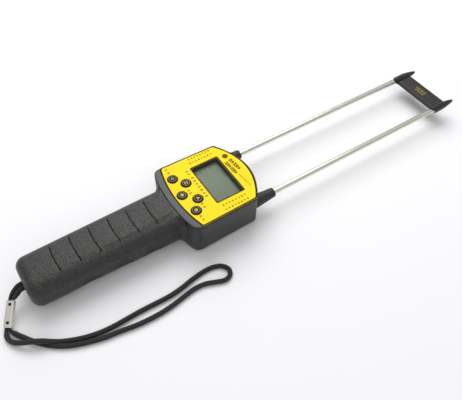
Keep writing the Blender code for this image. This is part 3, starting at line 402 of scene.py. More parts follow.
# ---- Moulded case ----------------------------------------------------------------------------
# Two halves of ABS moulded in charcoal with a spark-eroded grain, heavier on the grip than on
# the head.  They meet half way up and are drawn together by screws from the back.
WALL = 2.2
GRIP_SIDE = 4.2                    # the wall's thickness in the grip's sides
GRIP_WIDTHS = (41.6, 46.0)         # at the end face and at the neck
GRIP_LOW_RADII = (16.5, 11.5)      # of the lower edges, likewise
GRIP_HIGH_RADIUS = 11
GRIP_TOP = 34.5
GRIP_LIFT = 2.0                    # how far the grip's back clears the table
END_RADIUS = 8.5
HEAD_WIDTHS = (77.6, 75.4)         # at the neck and at the front
HEAD_LOW_RADIUS, HEAD_HIGH_RADIUS = 6, 2.2
REAR_BOW, FRONT_BOW = 5.4, 14.0    # how far the head's two ends swell
LENGTHS = {"grip": 129.5, "neck": 14.0, "head": 58.0}
NECK_END = LENGTHS["grip"] + LENGTHS["neck"]
FRONT_CORNER = NECK_END + LENGTHS["head"]
TOP = 36.0
SEAM_Z = 18.0
GROOVE_PITCH = 17.1
GROOVES = [28.7 + GROOVE_PITCH * k for k in range(6)]
FINGERS = [47.5 + 28.0 * k for k in range(3)]
ARC, SIDE, FLAT = 8, 6, 18         # steps round a corner, up a side and across the top


def mix(a, b, share):
    return a + (b - a) * share


def ease(value, start, end):
    """0 before start, 1 after end, and smooth between."""
    share = min(1.0, max(0.0, (value - start) / (end - start)))
    return share * share * (3 - 2 * share)


def grip_section(y, inset):
    """(y, half width, low, high, low radius, high radius, bow) across the grip."""
    share = min(1.0, y / LENGTHS["grip"])
    half = mix(*GRIP_WIDTHS, share) / 2
    side = inset * GRIP_SIDE / WALL
    return [y, half - side, GRIP_LIFT * ease(y, 20, 50) + inset, GRIP_TOP - inset,
            mix(*GRIP_LOW_RADII, share) - inset, GRIP_HIGH_RADIUS - inset, 0.0]


NECK_SHAPE = [Vector(p) for p in ((0, 0), (0.15, 0.04), (0.36, 0.25), (0.50, 0.58), (0.64, 0.86),
                                  (0.82, 0.97), (1, 1))]


def neck_section(t, share, inset):
    """The same for the neck, t of the way along it and that share of the way to the head."""
    shift = inset * 0.8 * math.sin(math.pi * min(t * 1.5, 0.5))
    side = inset * mix(GRIP_SIDE / WALL, 1.0, share)
    return [LENGTHS["grip"] + LENGTHS["neck"] * t + shift,
            mix(GRIP_WIDTHS[1], HEAD_WIDTHS[0], share) / 2 - side,
            mix(GRIP_LIFT, 0.0, share) + inset, mix(GRIP_TOP, TOP, share) - inset,
            mix(GRIP_LOW_RADII[1], HEAD_LOW_RADIUS, share) - inset,
            max(mix(GRIP_HIGH_RADIUS, HEAD_HIGH_RADIUS, share) - inset, 0.8), -REAR_BOW * share]


def head_section(u, y, inset):
    """The same for the head, u of the way from its rear to its front."""
    return [y, mix(*HEAD_WIDTHS, u) / 2 - inset, inset, TOP - inset,
            max(HEAD_LOW_RADIUS - inset, 1.0), max(HEAD_HIGH_RADIUS - inset, 0.8),
            mix(-REAR_BOW, FRONT_BOW, u)]


def case_sections(inset, fine):
    """All the sections from the grip's end face to the head's front face."""
    sections = []
    cap = 8 if fine else 4
    radius = END_RADIUS - inset
    for step in range(cap + 1):
        angle = math.pi / 2 * step / cap
        pull = radius * (1 - math.sin(angle))
        s = grip_section(inset + radius * (1 - math.cos(angle)), inset)
        sections.append([s[0], s[1] - pull, s[2] + pull, s[3] - pull, s[4] - pull,
                         s[5] - pull * 0.9, 0.0])
    if fine:
        places = {round(9.9 + 1.9 * k, 2) for k in range(63)}
        for centre in GROOVES:
            places = {y for y in places if abs(y - centre) > 1.5}
            places |= {centre + d for d in (-1.4, -0.8, -0.45, -0.2, 0.0, 0.2, 0.45, 0.8, 1.4)}
        sections += [grip_section(y, inset) for y in sorted(places) if y < 128.9]
    else:
        sections += [grip_section(y, inset) for y in (20, 33, 52, 78, 104, 119.5)]
    shape = smooth_route(NECK_SHAPE, 4 if fine else 1)
    sections += [neck_section(p.x, p.y, inset) for p in shape]
    radius = max(3.0 - inset, 0.8)
    start, stop = NECK_END + inset * 0.8, FRONT_CORNER - inset - radius
    count = 14 if fine else 5
    for step in range(1, count + 1):
        sections.append(head_section(step / count, mix(start, stop, step / count), inset))
    for step in range(1, cap + 1):
        angle = math.pi / 2 * step / cap
        pull = radius * (1 - math.cos(angle))
        s = head_section(1.0, stop + radius * math.sin(angle), inset)
        sections.append([s[0], s[1] - pull, s[2] + pull, s[3] - pull, s[4], s[5], s[6]])
    return sections


def section_points(section, arc, side, flat):
    """Points round a section, from the right side's lower corner, turning left over the top."""
    _, half, low, high, low_r, high_r, _ = section
    corners = [(half - low_r, low + low_r, low_r, -90), (half - high_r, high - high_r, high_r, 0),
               (high_r - half, high - high_r, high_r, 90), (low_r - half, low + low_r, low_r, 180)]
    points = []
    for k, (x, z, radius, first) in enumerate(corners):
        turn = [math.radians(first + 90 * i / arc) for i in range(arc + 1)]
        points += [(x + radius * math.cos(a), z + radius * math.sin(a)) for a in turn]
        x2, z2, radius2, first2 = corners[(k + 1) % 4]
        a, b = points[-1], (x2 + radius2 * math.cos(math.radians(first2)),
                            z2 + radius2 * math.sin(math.radians(first2)))
        steps = flat if k % 2 else side
        points += [(mix(a[0], b[0], i / steps), mix(a[1], b[1], i / steps)) for i in range(1, steps)]
    return points


def grip_relief(x, y, z):
    """How the top of the grip departs from its plain section: a raised panel and its grooves."""
    if z > 24:
        crown = 1 - ease(abs(x), 11.2, 12.3)
        before = max([g for g in GROOVES if g <= y], default=GROOVES[0] - GROOVE_PITCH)
        share = min(1.0, (y - before) / GROOVE_PITCH)
        bulge = math.sin(math.pi * share) if 11.6 < y < 131.4 else 0.0
        z += crown * (0.75 * ease(y, 15, 100) * (1 - ease(y, 130.8, 131.8)) + 0.28 * bulge)
        for centre in GROOVES:
            slit = math.exp(-((y - centre) / 0.34) ** 2)
            notch = math.exp(-((abs(x) - 12.0) / 1.3) ** 2 - ((y - centre) / 0.7) ** 2)
            z -= 0.75 * slit * (1 - ease(abs(x), 12.4, 15.0)) + 0.5 * notch
    return z


def case_form(inset, fine):
    """The whole case as one closed solid, drawn in by inset."""
    arc, side, flat = (ARC, SIDE, FLAT) if fine else (3, 2, 6)
    bm = bmesh.new()
    rings = []
    for section in case_sections(inset, fine):
        points = section_points(section, arc, side, flat)
        ring = bmesh.ops.create_circle(bm, segments=len(points), radius=0.001)["verts"]
        for vert, (x, z) in zip(ring, points):
            bow = section[6] * (1 - (x / section[1]) ** 2)
            if fine and section[0] < 134:
                z = grip_relief(x, section[0], z)
                if z > 30 and section[0] > 20:
                    bow += 0.8 * min(1.0, x * x / 126) * (1 - ease(section[0], 116, 130))
            vert.co = at(x, section[0] + bow, z)
        rings.append(ring)
    loops = [list({e for v in ring for e in v.link_edges}) for ring in rings]
    for near, far in zip(loops, loops[1:]):
        bmesh.ops.bridge_loops(bm, edges=near + far)
    mid_side = arc + side // 2
    for ring in (rings[0], rings[-1]):
        count = len(ring) // 2
        over = [ring[(mid_side + i) % len(ring)] for i in range(count + 1)]
        under = [ring[(mid_side - i) % len(ring)] for i in range(count + 1)]
        for i in range(count):
            corners = [over[i], over[i + 1], under[i + 1], under[i]]
            bm.faces.new([v for k, v in enumerate(corners) if v not in corners[:k]])
    bmesh.ops.triangulate(bm, faces=bm.faces)
    bmesh.ops.recalc_face_normals(bm, faces=bm.faces)
    return bm


def rod_way(radius, start, end, x, z=SEAM_Z, steps=40):
    """A round bar along Y, in mm."""
    bm = bmesh.new()
    bmesh.ops.create_cone(bm, cap_ends=True, segments=steps, radius1=radius / 1000,
                          radius2=radius / 1000, depth=(end - start) / 1000)
    bmesh.ops.rotate(bm, cent=(0, 0, 0), matrix=Matrix.Rotation(math.pi / 2, 3, "X"), verts=bm.verts)
    bmesh.ops.translate(bm, vec=at(x, (start + end) / 2, z), verts=bm.verts)
    return bm


def upright(radius, low, high, x, y, steps=32):
    bm = bmesh.new()
    bmesh.ops.create_cone(bm, cap_ends=True, segments=steps, radius1=radius / 1000,
                          radius2=radius / 1000, depth=(high - low) / 1000)
    bmesh.ops.translate(bm, vec=at(x, y, (low + high) / 2), verts=bm.verts)
    return bm


def tool(*meshes):
    """One cutter of several separate solids."""
    whole = bmesh.new()
    for bm in meshes:
        scrap = bpy.data.meshes.new("scrap")
        bm.to_mesh(scrap)
        bm.free()
        whole.from_mesh(scrap)
        bpy.data.meshes.remove(scrap)
    return finish_mesh(whole, "tool", [])


def face_outline(grow, low, high):
    """The shield shape of the printed face, in mm: two bowed ends and two straight sides."""
    steps = 36
    margin, corner = 1.0, 0.0014
    rear_half, front_half = (width / 2 - margin + grow for width in HEAD_WIDTHS)
    rear, front = NECK_END + margin - grow, FRONT_CORNER - margin + grow
    outline = []
    for step in range(steps + 1):
        x = mix(-rear_half, rear_half, step / steps)
        outline.append(at(x, rear - REAR_BOW * (1 - (x / rear_half) ** 2), low))
    for step in range(steps + 1):
        x = mix(front_half, -front_half, step / steps)
        outline.append(at(x, front + (FRONT_BOW - margin) * (1 - (x / front_half) ** 2), low))
    bm = bmesh.new()
    face = bm.faces.new([bm.verts.new(p) for p in outline])
    tips = [outline[i] for i in (0, steps, steps + 1, 2 * steps + 1)]
    raised = bmesh.ops.extrude_face_region(bm, geom=[face])["geom"]
    bmesh.ops.translate(bm, vec=(0, 0, (high - low) / 1000),
                        verts=[v for v in raised if isinstance(v, bmesh.types.BMVert)])
    posts = [e for e in bm.edges if (e.verts[0].co - e.verts[1].co).to_2d().length < 1e-7
             and any((e.verts[0].co - tip).to_2d().length < 1e-7 for tip in tips)]
    bmesh.ops.bevel(bm, geom=posts, offset=corner, segments=6, profile=0.5, affect="EDGES",
                    material=-1)
    bmesh.ops.recalc_face_normals(bm, faces=bm.faces)
    return bm


WINDOW_Y = 182.1
WINDOW_HALF = (22.7, 13.7)


def window_block(grow, low, high):
    wide, long = WINDOW_HALF
    return slab((-wide - grow, WINDOW_Y - long - grow, low), (wide + grow, WINDOW_Y + long + grow, high),
                1.6)


BUTTON_PLACES = {"left_rear": (-20.5, 148.4), "left_front": (-10.25, 156.2), "middle": (0.0, 146.4),
                 "right_front": (10.25, 156.2), "right_rear": (20.5, 148.4)}
SCREW_PLACES = {"grip_left": (-13.0, 9.2), "grip_right": (13.0, 9.2), "neck_left": (-32.5, 150.5),
                "neck_right": (32.5, 150.5), "front_left": (-13.5, 206.7), "front_right": (13.5, 206.7)}


def button_holes(radius, low, high):
    return [upright(radius, low, high, x, y, 48) for x, y in BUTTON_PLACES.values()]


def charcoal_abs():
    """Charcoal ABS with a spark-eroded grain: pebbles of about a millimetre on the grip."""
    material, tree, shader = new_finish("charcoal_abs", "#242624", 0.4, Specular_IOR_Level=0.5)
    place = add_node(tree, "ShaderNodeTexCoord").outputs["Object"]
    pebble = add_node(tree, "ShaderNodeTexVoronoi", {"Vector": place, "Scale": 850.0},
                      feature="SMOOTH_F1")
    parts = add_node(tree, "ShaderNodeSeparateXYZ", {"Vector": place})
    on_grip = add_node(tree, "ShaderNodeMapRange",
                       {"Value": parts.outputs["Y"], "From Min": at(0, 128, 0).y,
                        "From Max": at(0, 136, 0).y, "To Min": 1.0, "To Max": 0.25})
    broad = object_noise(tree, 330.0, 4.0)
    grain = maths(tree, "ADD", pebble.outputs["Distance"], object_noise(tree, 1600.0, 3.0))
    emboss(tree, shader, maths(tree, "MULTIPLY", grain, on_grip.outputs["Result"]), 0.7, 0.0006)
    ramp = between_colours(tree, shader, maths(tree, "MULTIPLY", broad, grain), "#141714", "#323631")
    ramp.elements[0].position = 0.2
    ramp.elements[1].position = 0.75
    rough_between(tree, shader, broad, 0.30, 0.44)
    return material


abs_plastic = charcoal_abs()


def ellipsoid(size, place):
    bm = bmesh.new()
    bmesh.ops.create_uvsphere(bm, u_segments=48, v_segments=24, radius=1.0)
    bmesh.ops.scale(bm, vec=Vector(size) / 1000, verts=bm.verts)
    bmesh.ops.translate(bm, vec=place, verts=bm.verts)
    return bm


def finger_hollows():
    """Three shallow hollows low on each side of the grip."""
    hollows = []
    for y in FINGERS:
        half = mix(*GRIP_WIDTHS, y / LENGTHS["grip"]) / 2
        for side in (-1, 1):
            hollows.append(ellipsoid((6.0, 12.0, 16.0), at(side * (half + 2.2), y, 8)))
    return hollows


ROD_X = 28.0


def boot_holes():
    return [rod_way(6.6, 198.3, 226, side * ROD_X) for side in (-1, 1)]


def cord_hole():
    return slab((-4.9, -3, 16.8), (4.9, 5.2, 22.2))


def case_half(name, low, high, node):
    """One half of the case, hollow, with the openings that both halves share."""
    half = finish_mesh(case_form(0.0, True), name, [abs_plastic])
    carve(half, finish_mesh(case_form(WALL, False), "hollow", []))
    carve(half, tool(slab((-60, -20, low), (60, 240, high))), "INTERSECT")
    carve(half, tool(*boot_holes()))
    carve(half, tool(*finger_hollows()))
    carve(half, tool(cord_hole()))
    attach(half, "meter")
    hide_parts(node)
    return half


front = case_half("case_front", SEAM_Z + 0.06, 60, "front_shell")
carve(front, tool(face_outline(0.25, TOP - 0.8, TOP + 2)))
carve(front, tool(window_block(1.5, TOP - 5, TOP + 1)))
carve(front, tool(*button_holes(5.1, TOP - 4, TOP + 1)))
reshade(front, 20)

rear = case_half("case_rear", -20, SEAM_Z - 0.06, "rear_shell")
BAY = (11.5, 12.5, 108.8)          # half width, start and end of the battery opening
HEAD_Z = 9.0                       # the screws' heads rest at this height, in their wells
ribs = [slab((side * 12.2 - 0.7, 11.1, 3.4), (side * 12.2 + 0.7, 108.8, 13.4)) for side in (-1, 1)]
ribs.append(slab((-11.8, 106.8, 6.6), (11.8, 108.2, 13.4)))
ribs.append(slab((-11.8, 11.1, 2.0), (11.8, 12.5, 13.4)))
for rib in ribs:
    carve(rear, tool(rib), "UNION")
carve(rear, tool(slab((-BAY[0], BAY[1], -10), (BAY[0], BAY[2], 6.5))))
for x, y in SCREW_PLACES.values():
    carve(rear, tool(upright(3.4, 5.4 if y < 20 else 1.2, SEAM_Z - 0.1, x, y)), "UNION")
    carve(rear, tool(upright(1.5, 5, SEAM_Z + 1, x, y)))
    carve(rear, tool(upright(2.6, -2, HEAD_Z, x, y)))
reshade(rear, 20)

# ---- Battery door ----------------------------------------------------------------------------
# A strip of the grip's own back, moulded in the same plastic.  A lip at its front end hooks over
# the floor of the case and is its hinge; a thumb hollow near the end opens it.
door = finish_mesh(case_form(0.0, True), "battery_door_panel", [abs_plastic])
carve(door, finish_mesh(case_form(WALL, False), "hollow", []))
carve(door, tool(slab((-11.2, 12.8, -10), (11.2, 108.5, 6.2), 0.5)), "INTERSECT")
carve(door, tool(slab((-4, 106.6, 3.6), (4, 110.3, 5.8), 0.4)), "UNION")
carve(door, tool(slab((-6, 108.4, 0), (6, 111.5, 5.0))))
carve(door, tool(ellipsoid((5.5, 3.5, 1.0), at(0, 21.3, 0))))
reshade(door)
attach(door, "battery_door")
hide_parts("battery_door")

# ---- Battery cells ---------------------------------------------------------------------------
# Four small alkaline cells, end to end in two columns: drawn steel cans in a printed shrink
# sleeve, with a bare raised contact at one end and a bare flat base at the other.


def turned(profile, steps=48, closed=False):
    """A solid turned from (radius, height) pairs in mm round the upright axis."""
    bm = bmesh.new()
    verts = [bm.verts.new((r / 1000, 0, z / 1000)) for r, z in profile]
    edges = [bm.edges.new(pair) for pair in zip(verts, verts[1:])]
    if closed:
        edges.append(bm.edges.new((verts[-1], verts[0])))
    bmesh.ops.spin(bm, geom=verts + edges, axis=(0, 0, 1), cent=(0, 0, 0), dvec=(0, 0, 0),
                   angle=math.tau, steps=steps, use_merge=True)
    bmesh.ops.remove_doubles(bm, verts=bm.verts, dist=1e-7)
    bmesh.ops.recalc_face_normals(bm, faces=bm.faces)
    return bm


def along_y(bm, x, y, z=SEAM_Z, forward=True):
    """Lays a turned solid along the meter, its foot at a place given in mm."""
    turn = Matrix.Rotation(-math.pi / 2 if forward else math.pi / 2, 4, "X")
    bmesh.ops.transform(bm, matrix=Matrix.Translation(at(x, y, z)) @ turn, verts=bm.verts)
    return bm


def cell_finish():
    """Printed shrink sleeve: blue ink, faintly mottled, under a glossy skin."""
    material, tree, shader = new_finish("printed_cell_sleeve", "#1c3f74", 0.28)
    between_colours(tree, shader, object_noise(tree, 700.0), "#17345f", "#23508f")
    return material


sleeve_print = cell_finish()
CELL_LENGTH, CELL_PITCH = 44.5, 44.8
CELL = [(0, CELL_LENGTH), (1.7, CELL_LENGTH), (1.85, 44.3), (1.85, 43.6), (4.6, 43.5), (5.1, 43.3),
        (5.25, 43.0), (5.25, 0.5), (5.1, 0.15), (4.7, 0.0), (4.2, 0.1), (0, 0.1)]
for number in range(4):
    column, row = divmod(number, 2)
    start = 16.5 + row * CELL_PITCH
    solid = turned(CELL)
    for face in solid.faces:
        spot = face.calc_center_median() * 1000
        face.material_index = int(spot.xy.length < 4.4 and not 1 < spot.z < 43.2)
    along_y(solid, (-5.55, 5.55)[column], start + CELL_LENGTH * column, 10.45, column == 0)
    cell = finish_mesh(solid, f"alkaline_cell_{number + 1}", [sleeve_print, nickel])
    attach(cell, "meter")
    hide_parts(f"battery_cell_{number + 1}")

# ---- Printed face ----------------------------------------------------------------------------
# A yellow polyester film stuck in the shallow pocket of the head.  A dark outline runs round it
# and round the window; captions are plain marks in brown ink.


def printed_film():
    """Warm yellow ink under a fine satin texture."""
    material, tree, shader = new_finish("yellow_polyester_film", "#fbdf22", 0.6,
                                        Specular_IOR_Level=0.12)
    between_colours(tree, shader, object_noise(tree, 60.0), "#f6d518", "#fde22c")
    emboss(tree, shader, object_noise(tree, 2500.0), 0.15, 0.0002)
    return material


def ink(name, dark, light):
    """Screen ink: slightly uneven colour, dull."""
    material, tree, shader = new_finish(name, dark, 0.6, Specular_IOR_Level=0.12)
    between_colours(tree, shader, object_noise(tree, 900.0), dark, light)
    return material


outline_ink = ink("dark_outline_ink", "#211e0c", "#2b2710")
brown_ink = ink("brown_screen_ink", "#6b4408", "#83570f")
deep_ink = ink("deep_brown_screen_ink", "#2f2007", "#40300d")

PRINT_TOP = 36.03                  # ink stands just proud of the film
film = finish_mesh(face_outline(0.0, 35.5, TOP), "face_film", [printed_film()])
carve(film, tool(window_block(0.0, 30, 40)))
carve(film, tool(*button_holes(5.0, 30, 40)))
reshade(film)
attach(film, "meter")
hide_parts("face_label")

border = finish_mesh(face_outline(-0.02, 35.8, PRINT_TOP), "face_outline_print", [outline_ink])
carve(border, tool(face_outline(-1.2, 30, 40)))
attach(border, "meter")
rim = finish_mesh(window_block(0.95, 35.8, PRINT_TOP), "window_outline_print", [outline_ink])
carve(rim, tool(window_block(0.02, 30, 40)))
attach(rim, "meter")


def mark(x, y, wide, long, turn=0.0, low=35.9, high=PRINT_TOP):
    """One printed block on a level face, its middle at x, y, turned by so many degrees."""
    bm = slab((-wide / 2, -long / 2, low), (wide / 2, long / 2, high))
    bmesh.ops.translate(bm, vec=-at(0, 0, 0), verts=bm.verts)
    bmesh.ops.rotate(bm, cent=(0, 0, 0), matrix=Matrix.Rotation(math.radians(turn), 3, "Z"),
                     verts=bm.verts)
    bmesh.ops.translate(bm, vec=at(x, y, 0), verts=bm.verts)
    return bm


def caption(start, end, count, size, offset=0):
    """A row of generic marks between two places, each a bar over a bar with a post."""
    start, end = Vector(start), Vector(end)
    turn = math.degrees(math.atan2(end.y - start.y, end.x - start.x))
    across = (end - start).normalized().orthogonal() * size
    made = []
    for i in range(count):
        spot = start.lerp(end, i / max(count - 1, 1))
        kind = (i + offset) % 3
        for share in ((-0.34, 0.34), (-0.36, 0.0, 0.36), (0.0,))[kind]:
            p = spot + across * share
            made.append(mark(p.x, p.y, size * 0.84, size * 0.24, turn))
        if kind != 1:
            made.append(mark(spot.x, spot.y, size * 0.26, size * 0.95, turn))
    return made


def print_piece(name, marks, material, body="meter"):
    piece = tool(*marks)
    piece.name = name
    piece.data.materials.append(material)
    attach(piece, body)


lists = []
for start, end, offset in (((-33.5, 172.5), (-33.5, 193.5), 0), ((-28.7, 171.5), (-28.7, 193), 1),
                           ((28.0, 171), (28.0, 193.3), 1), ((33.0, 171), (33.0, 193), 2)):
    lists += caption(start, end, 8, 1.9, offset)
print_piece("material_list_print", lists, brown_ink)
title = caption((-12.6, 164.1), (11.6, 164.1), 7, 2.4)
for k, (a, b) in enumerate((((-33.2, 148.7), (-28.7, 148.7)), ((-21.6, 163.6), (-18.2, 163.6)),
                            ((-1.8, 153.9), (1.6, 153.9)), ((17.0, 156.4), (20.8, 156.4)),
                            ((27.6, 148.6), (31.8, 148.6)))):
    title += caption(a, b, 2, 2.2, k)
print_piece("caption_print", title, brown_ink)
bold = caption((-12.6, 204.8), (-0.2, 205.9), 5, 3.6, 1)
bold += caption((-11.4, 199.6), (2.6, 200.7), 6, 3.3)
print_piece("bold_line_print", bold, deep_ink)
thin = caption((6.4, 201.8), (20.6, 203.4), 7, 1.6)
thin.append(upright(2.8, 35.9, PRINT_TOP, -19.4, 203.0, 40))
print_piece("thin_line_print", thin, brown_ink)

# ---- Display ---------------------------------------------------------------------------------
# A moulded frame slopes in from the face to a clear acrylic window; the liquid crystal panel
# lies under it, blank while the meter is off.


def plain_plastic(name, dark, light, roughness, **sockets):
    """Moulded plastic: nearly even colour over a very fine grain."""
    material, tree, shader = new_finish(name, dark, roughness, **sockets)
    grain = object_noise(tree, 1500.0, 3.0)
    between_colours(tree, shader, grain, dark, light)
    emboss(tree, shader, grain, 0.25, 0.0002)
    return material


def display_panel():
    """Grey-green liquid crystal, dull, with a slight fall of tone."""
    material, tree, shader = new_finish("liquid_crystal_panel", "#6c7a64", 0.3,
                                        Specular_IOR_Level=0.2)
    between_colours(tree, shader, object_noise(tree, 40.0), "#67765f", "#73826a")
    return material


def clear_acrylic():
    """Clear acrylic: almost invisible from above, with a slight gloss and a greenish tint."""
    material, tree, shader = new_finish("clear_acrylic_window", "#6e756e", 0.06, Alpha=0.06)
    rough_between(tree, shader, object_noise(tree, 120.0), 0.04, 0.12)
    return material


bezel = finish_mesh(window_block(1.2, 32.6, 35.2), "display_frame",
                    [plain_plastic("blue_black_abs", "#2b2d35", "#3a3c46", 0.4)])
funnel = window_block(0.0, 31.6, 36.2)
SLOPE = 0.0018                     # how far the frame's walls lean in, in metres
for vert in funnel.verts:
    if vert.co.z < 0.034:
        vert.co.x -= math.copysign(SLOPE, vert.co.x)
        vert.co.y -= math.copysign(SLOPE, vert.co.y - at(0, WINDOW_Y, 0).y)
carve(bezel, finish_mesh(funnel, "funnel", []))
reshade(bezel)
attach(bezel, "meter")
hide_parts("lcd_bezel")
glass = finish_mesh(window_block(1.2, 31.3, 32.3), "display_window", [clear_acrylic()])
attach(glass, "meter")
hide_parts("lcd_lens")
panel = finish_mesh(slab((-24.3, 166.8, 28.2), (24.3, 197.4, 31.0), 1.0, 0.2), "display_panel",
                    [display_panel()])
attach(panel, "meter")
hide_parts("lcd_panel")

# ---- Buttons ---------------------------------------------------------------------------------
# Five round caps moulded in near-black rubbery plastic on a flange that keeps them in the case.
# Each has a pale ring and a simple sign printed on its top.
BUTTON = [(0, 1.0), (3.9, 1.0), (4.3, 0.93), (4.6, 0.72), (4.8, 0.35), (4.8, -2.5), (5.8, -2.5),
          (5.8, -3.5), (1.8, -3.5), (1.8, -5.6), (0, -5.6)]
button_finish = plain_plastic("soft_black_button", "#0c0a07", "#15110b", 0.6,
                              Specular_IOR_Level=0.2)
cream_ink = ink("cream_pad_ink", "#a2946a", "#c2b487")


def sign(name, x, y):
    """A small simple sign for each button."""
    top, under = 37.03, 36.9
    if name == "middle":
        return [mark(x, y, 3.0, 3.0, 45, under, top)]
    if name == "left_rear":
        return [mark(x, y, 3.4, 0.9, 0, under, top), mark(x, y, 0.9, 3.4, 0, under, top)]
    if name == "left_front":
        return [mark(x, y + d, 3.6, 1.1, 0, under, top) for d in (-1.05, 1.05)]
    if name == "right_front":
        return [upright(2.2, under, top, x, y, 3)]
    return [upright(1.7, under, top, x, y, 20)]


for name, (x, y) in BUTTON_PLACES.items():
    solid = turned(BUTTON)
    bmesh.ops.translate(solid, vec=at(x, y, TOP), verts=solid.verts)
    cap = finish_mesh(solid, f"button_cap_{name}", [button_finish])
    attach(cap, f"button_{name}")
    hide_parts(f"button_{name}")
    ring = turned([(3.15, 0.9), (3.45, 0.9), (3.45, 1.03), (3.15, 1.03)], 40, closed=True)
    bmesh.ops.translate(ring, vec=at(x, y, TOP), verts=ring.verts)
    print_piece(f"button_sign_{name}", [ring] + sign(name, x, y), cream_ink,
                f"button_{name}")

# ---- Probe rods ------------------------------------------------------------------------------
# Two ground and polished stainless steel rods, held in the head by nuts behind its front wall.


def polished_steel():
    """Bright drawn steel: fine streaks along the rod stretch its reflections lengthwise."""
    material, tree, shader = new_finish("polished_stainless_steel", "#e2e0d4", 0.2, Metallic=1.0)
    place = add_node(tree, "ShaderNodeTexCoord")
    streak = add_node(tree, "ShaderNodeMapping", {"Vector": place.outputs["Object"],
                                                  "Scale": (1500.0, 25.0, 1500.0)})
    lines = add_node(tree, "ShaderNodeTexNoise", {"Vector": streak.outputs["Vector"],
                                                  "Scale": 1.0, "Detail": 3.0})
    rough_between(tree, shader, lines.outputs["Fac"], 0.14, 0.30)
    emboss(tree, shader, lines.outputs["Fac"], 0.08, 0.0001)
    return material


steel = polished_steel()
ROD_START = 186.7
reach = 449.1 - ROD_START
ROD = [(0, reach), (2.45, reach), (2.75, reach - 0.3), (2.75, 0.3), (2.45, 0), (0, 0)]
for name, side in (("left", -1), ("right", 1)):
    rod = finish_mesh(along_y(turned(ROD, 64), side * ROD_X, ROD_START), f"steel_rod_{name}", [steel])
    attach(rod, "meter")
    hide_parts(f"probe_rod_{name}")

# ---- Rubber boots ----------------------------------------------------------------------------
# A tapered grommet of black rubber round each rod where it leaves the head; a collar behind the
# wall keeps it from pulling out.
black_rubber = plain_plastic("black_nitrile_rubber", "#181a19", "#262928", 0.52)
collar = ROD_START + 1.4 + 3.0 + 0.3 + 0.9 + 0.3 + 3.6 + 0.3   # past the nut and terminal
BOOT = [(3.05, 225.5), (3.9, 225.5), (4.3, 225.3), (4.5, 224.8), (4.72, 222.2), (5.2, 216.5),
        (5.7, 211.5), (6.1, 207.4), (6.2, 206.0), (6.2, collar + 1.8), (6.9, collar + 1.8),
        (6.9, collar), (3.05, collar)]
for name, side in (("left", -1), ("right", 1)):
    profile = [(r, y - collar) for r, y in BOOT]
    boot = finish_mesh(along_y(turned(profile, 56, closed=True), side * ROD_X, collar),
                       f"rod_boot_{name}", [black_rubber])
    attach(boot, "meter")
    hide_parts(f"probe_boot_{name}")

# ---- Probe bridge ----------------------------------------------------------------------------
# One moulding of black plastic that spaces the rods: a flat bar with a pointed leaf-shaped cap
# over each rod's end, cut at a slant behind so that the rod lies in an open cradle.
FIN_REAR = 430.5
TIP = 463.4
FIN_HALF = (3.8, 4.3)              # a cap's half width and half height


def fin_form(side):
    """A leaf-shaped cap, a little taller than it is wide."""
    long = TIP - FIN_REAR
    shape = [(0, long), (0.14, long - 0.05), (0.25, long - 0.3), (0.36, long - 1.2),
             (0.52, long - 4), (0.68, long - 7.4), (0.82, long - 11), (0.93, long - 14.2),
             (1.0, long - 17.5), (1.0, 6), (0.97, 3), (0.92, 0), (0, 0)]
    wide, high = FIN_HALF
    bm = along_y(turned([(r * high, y) for r, y in shape], 40), 0, FIN_REAR, 17.8)
    bmesh.ops.scale(bm, vec=(wide / high, 1, 1), verts=bm.verts)
    bmesh.ops.translate(bm, vec=(side * ROD_X / 1000, 0, 0), verts=bm.verts)
    return bm


def fin_slant(side):
    """The block that cuts a cap's rear end at a slant."""
    bm = bmesh.new()
    bmesh.ops.create_cube(bm, size=1.0)
    bmesh.ops.scale(bm, vec=(0.024, 0.03, 0.024), verts=bm.verts)
    bmesh.ops.translate(bm, vec=(0, -0.015, 0), verts=bm.verts)
    lean = (Matrix.Rotation(math.radians(32), 3, "X")
            @ Matrix.Rotation(side * math.radians(14), 3, "Z"))
    bmesh.ops.rotate(bm, cent=(0, 0, 0), matrix=lean, verts=bm.verts)
    bmesh.ops.translate(bm, vec=at(side * ROD_X, FIN_REAR + 2.6, SEAM_Z), verts=bm.verts)
    return bm


BAR_TOP = 19.05
bridge = finish_mesh(slab((-ROD_X, 435.2, 14.55), (ROD_X, 452.7, BAR_TOP), 0.9, 0.4), "rod_bridge",
                     [plain_plastic("black_abs", "#141715", "#212422", 0.42)])
for side in (-1, 1):
    carve(bridge, tool(fin_form(side)), "UNION")
    carve(bridge, tool(fin_slant(side)))
carve(bridge, tool(*[rod_way(3.05, FIN_REAR - 2, TIP - 14.0, side * ROD_X) for side in (-1, 1)]))
reshade(bridge)
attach(bridge, "meter")
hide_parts("probe_bridge")
gold = ink("dull_gold_ink", "#8a7526", "#ab9536")
bars = []
for count, x, y, wide, odd, even in ((6, -6.6, 445.4, 1.5, 2.4, 1.8), (5, -4.6, 441.6, 1.6, 1.7, 2.3)):
    for k in range(count):
        bars.append(mark(x + 2.4 * k, y, wide, odd if k % 2 else even, 0, BAR_TOP - 0.1,
                         BAR_TOP + 0.05))
print_piece("bridge_print", bars, gold)

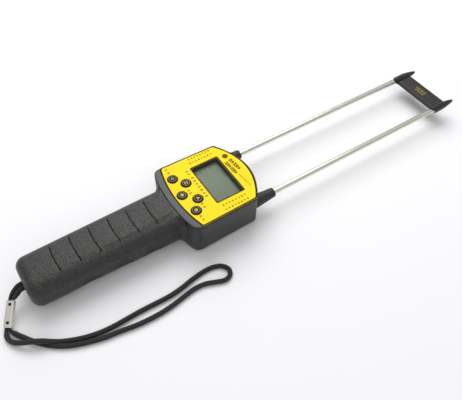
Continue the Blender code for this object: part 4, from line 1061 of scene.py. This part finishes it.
# ---- Screws ----------------------------------------------------------------------------------
# Six plated self-tapping screws with cross recesses, deep in their wells in the back.
for name, (x, y) in SCREW_PLACES.items():
    form = turned([(0, 17.0), (1.2, 15.8), (1.2, -0.3), (2.3, -0.3), (2.3, -1.5), (1.9, -2.0),
                   (1.0, -2.2), (0, -2.2)], 28)
    bmesh.ops.translate(form, vec=at(x, y, HEAD_Z), verts=form.verts)
    screw = finish_mesh(form, f"case_screw_{name}", [steel])
    cross = [slab((x - 1.3, y - 0.3, 5), (x + 1.3, y + 0.3, 7.9)),
             slab((x - 0.3, y - 1.3, 5), (x + 0.3, y + 1.3, 7.9))]
    for bar in cross:
        carve(screw, tool(bar))
    reshade(screw)
    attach(screw, "meter")
    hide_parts(f"screw_{name}")

# ---- Inner parts -----------------------------------------------------------------------------
# The board with its chip and five tact switches, the spring contacts, nuts, terminals, leads and
# the cord's anchor keep the frame's own shapes; each is given the finish of its real material.


def solder_mask():
    """Green solder mask: tracks show as lighter lines under a glossy coat."""
    material, tree, shader = new_finish("green_solder_mask", "#0d4a26", 0.3)
    place = add_node(tree, "ShaderNodeTexCoord")
    tracks = add_node(tree, "ShaderNodeTexBrick",
                      {"Vector": place.outputs["Object"], "Scale": 260.0, "Color1": linear("#0c4423"),
                       "Color2": linear("#0e4f29"), "Mortar": linear("#1f7040"), "Mortar Size": 0.03})
    tree.links.new(tracks.outputs["Color"], shader.inputs["Base Color"])
    return material


brass = plain_plastic("turned_brass", "#a8822c", "#bd9640", 0.3, Metallic=1.0)
epoxy = plain_plastic("black_epoxy", "#17181a", "#232426", 0.5)
inner = {"main_board": solder_mask(), "mcu_chip": epoxy, "strap_anchor": epoxy,
         "battery_lead_red": plain_plastic("red_pvc_insulation", "#8d1414", "#a01c1c", 0.4)}
dark_lead = plain_plastic("black_pvc_insulation", "#151617", "#212223", 0.4)
inner.update({name: dark_lead for name in ("battery_lead_black", "rod_lead_left", "rod_lead_right")})
inner.update({f"switch_{name}": epoxy for name in BUTTON_PLACES})
for name in ("battery_bridge_contact", "battery_positive_contact", "battery_negative_contact",
             "rod_terminal_left", "rod_terminal_right"):
    inner[name] = nickel
for name in ("rod_nut_left", "rod_nut_right"):
    inner[name] = brass
for name, material in inner.items():
    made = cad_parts[name]
    made.data.materials.clear()
    made.data.materials.append(material)
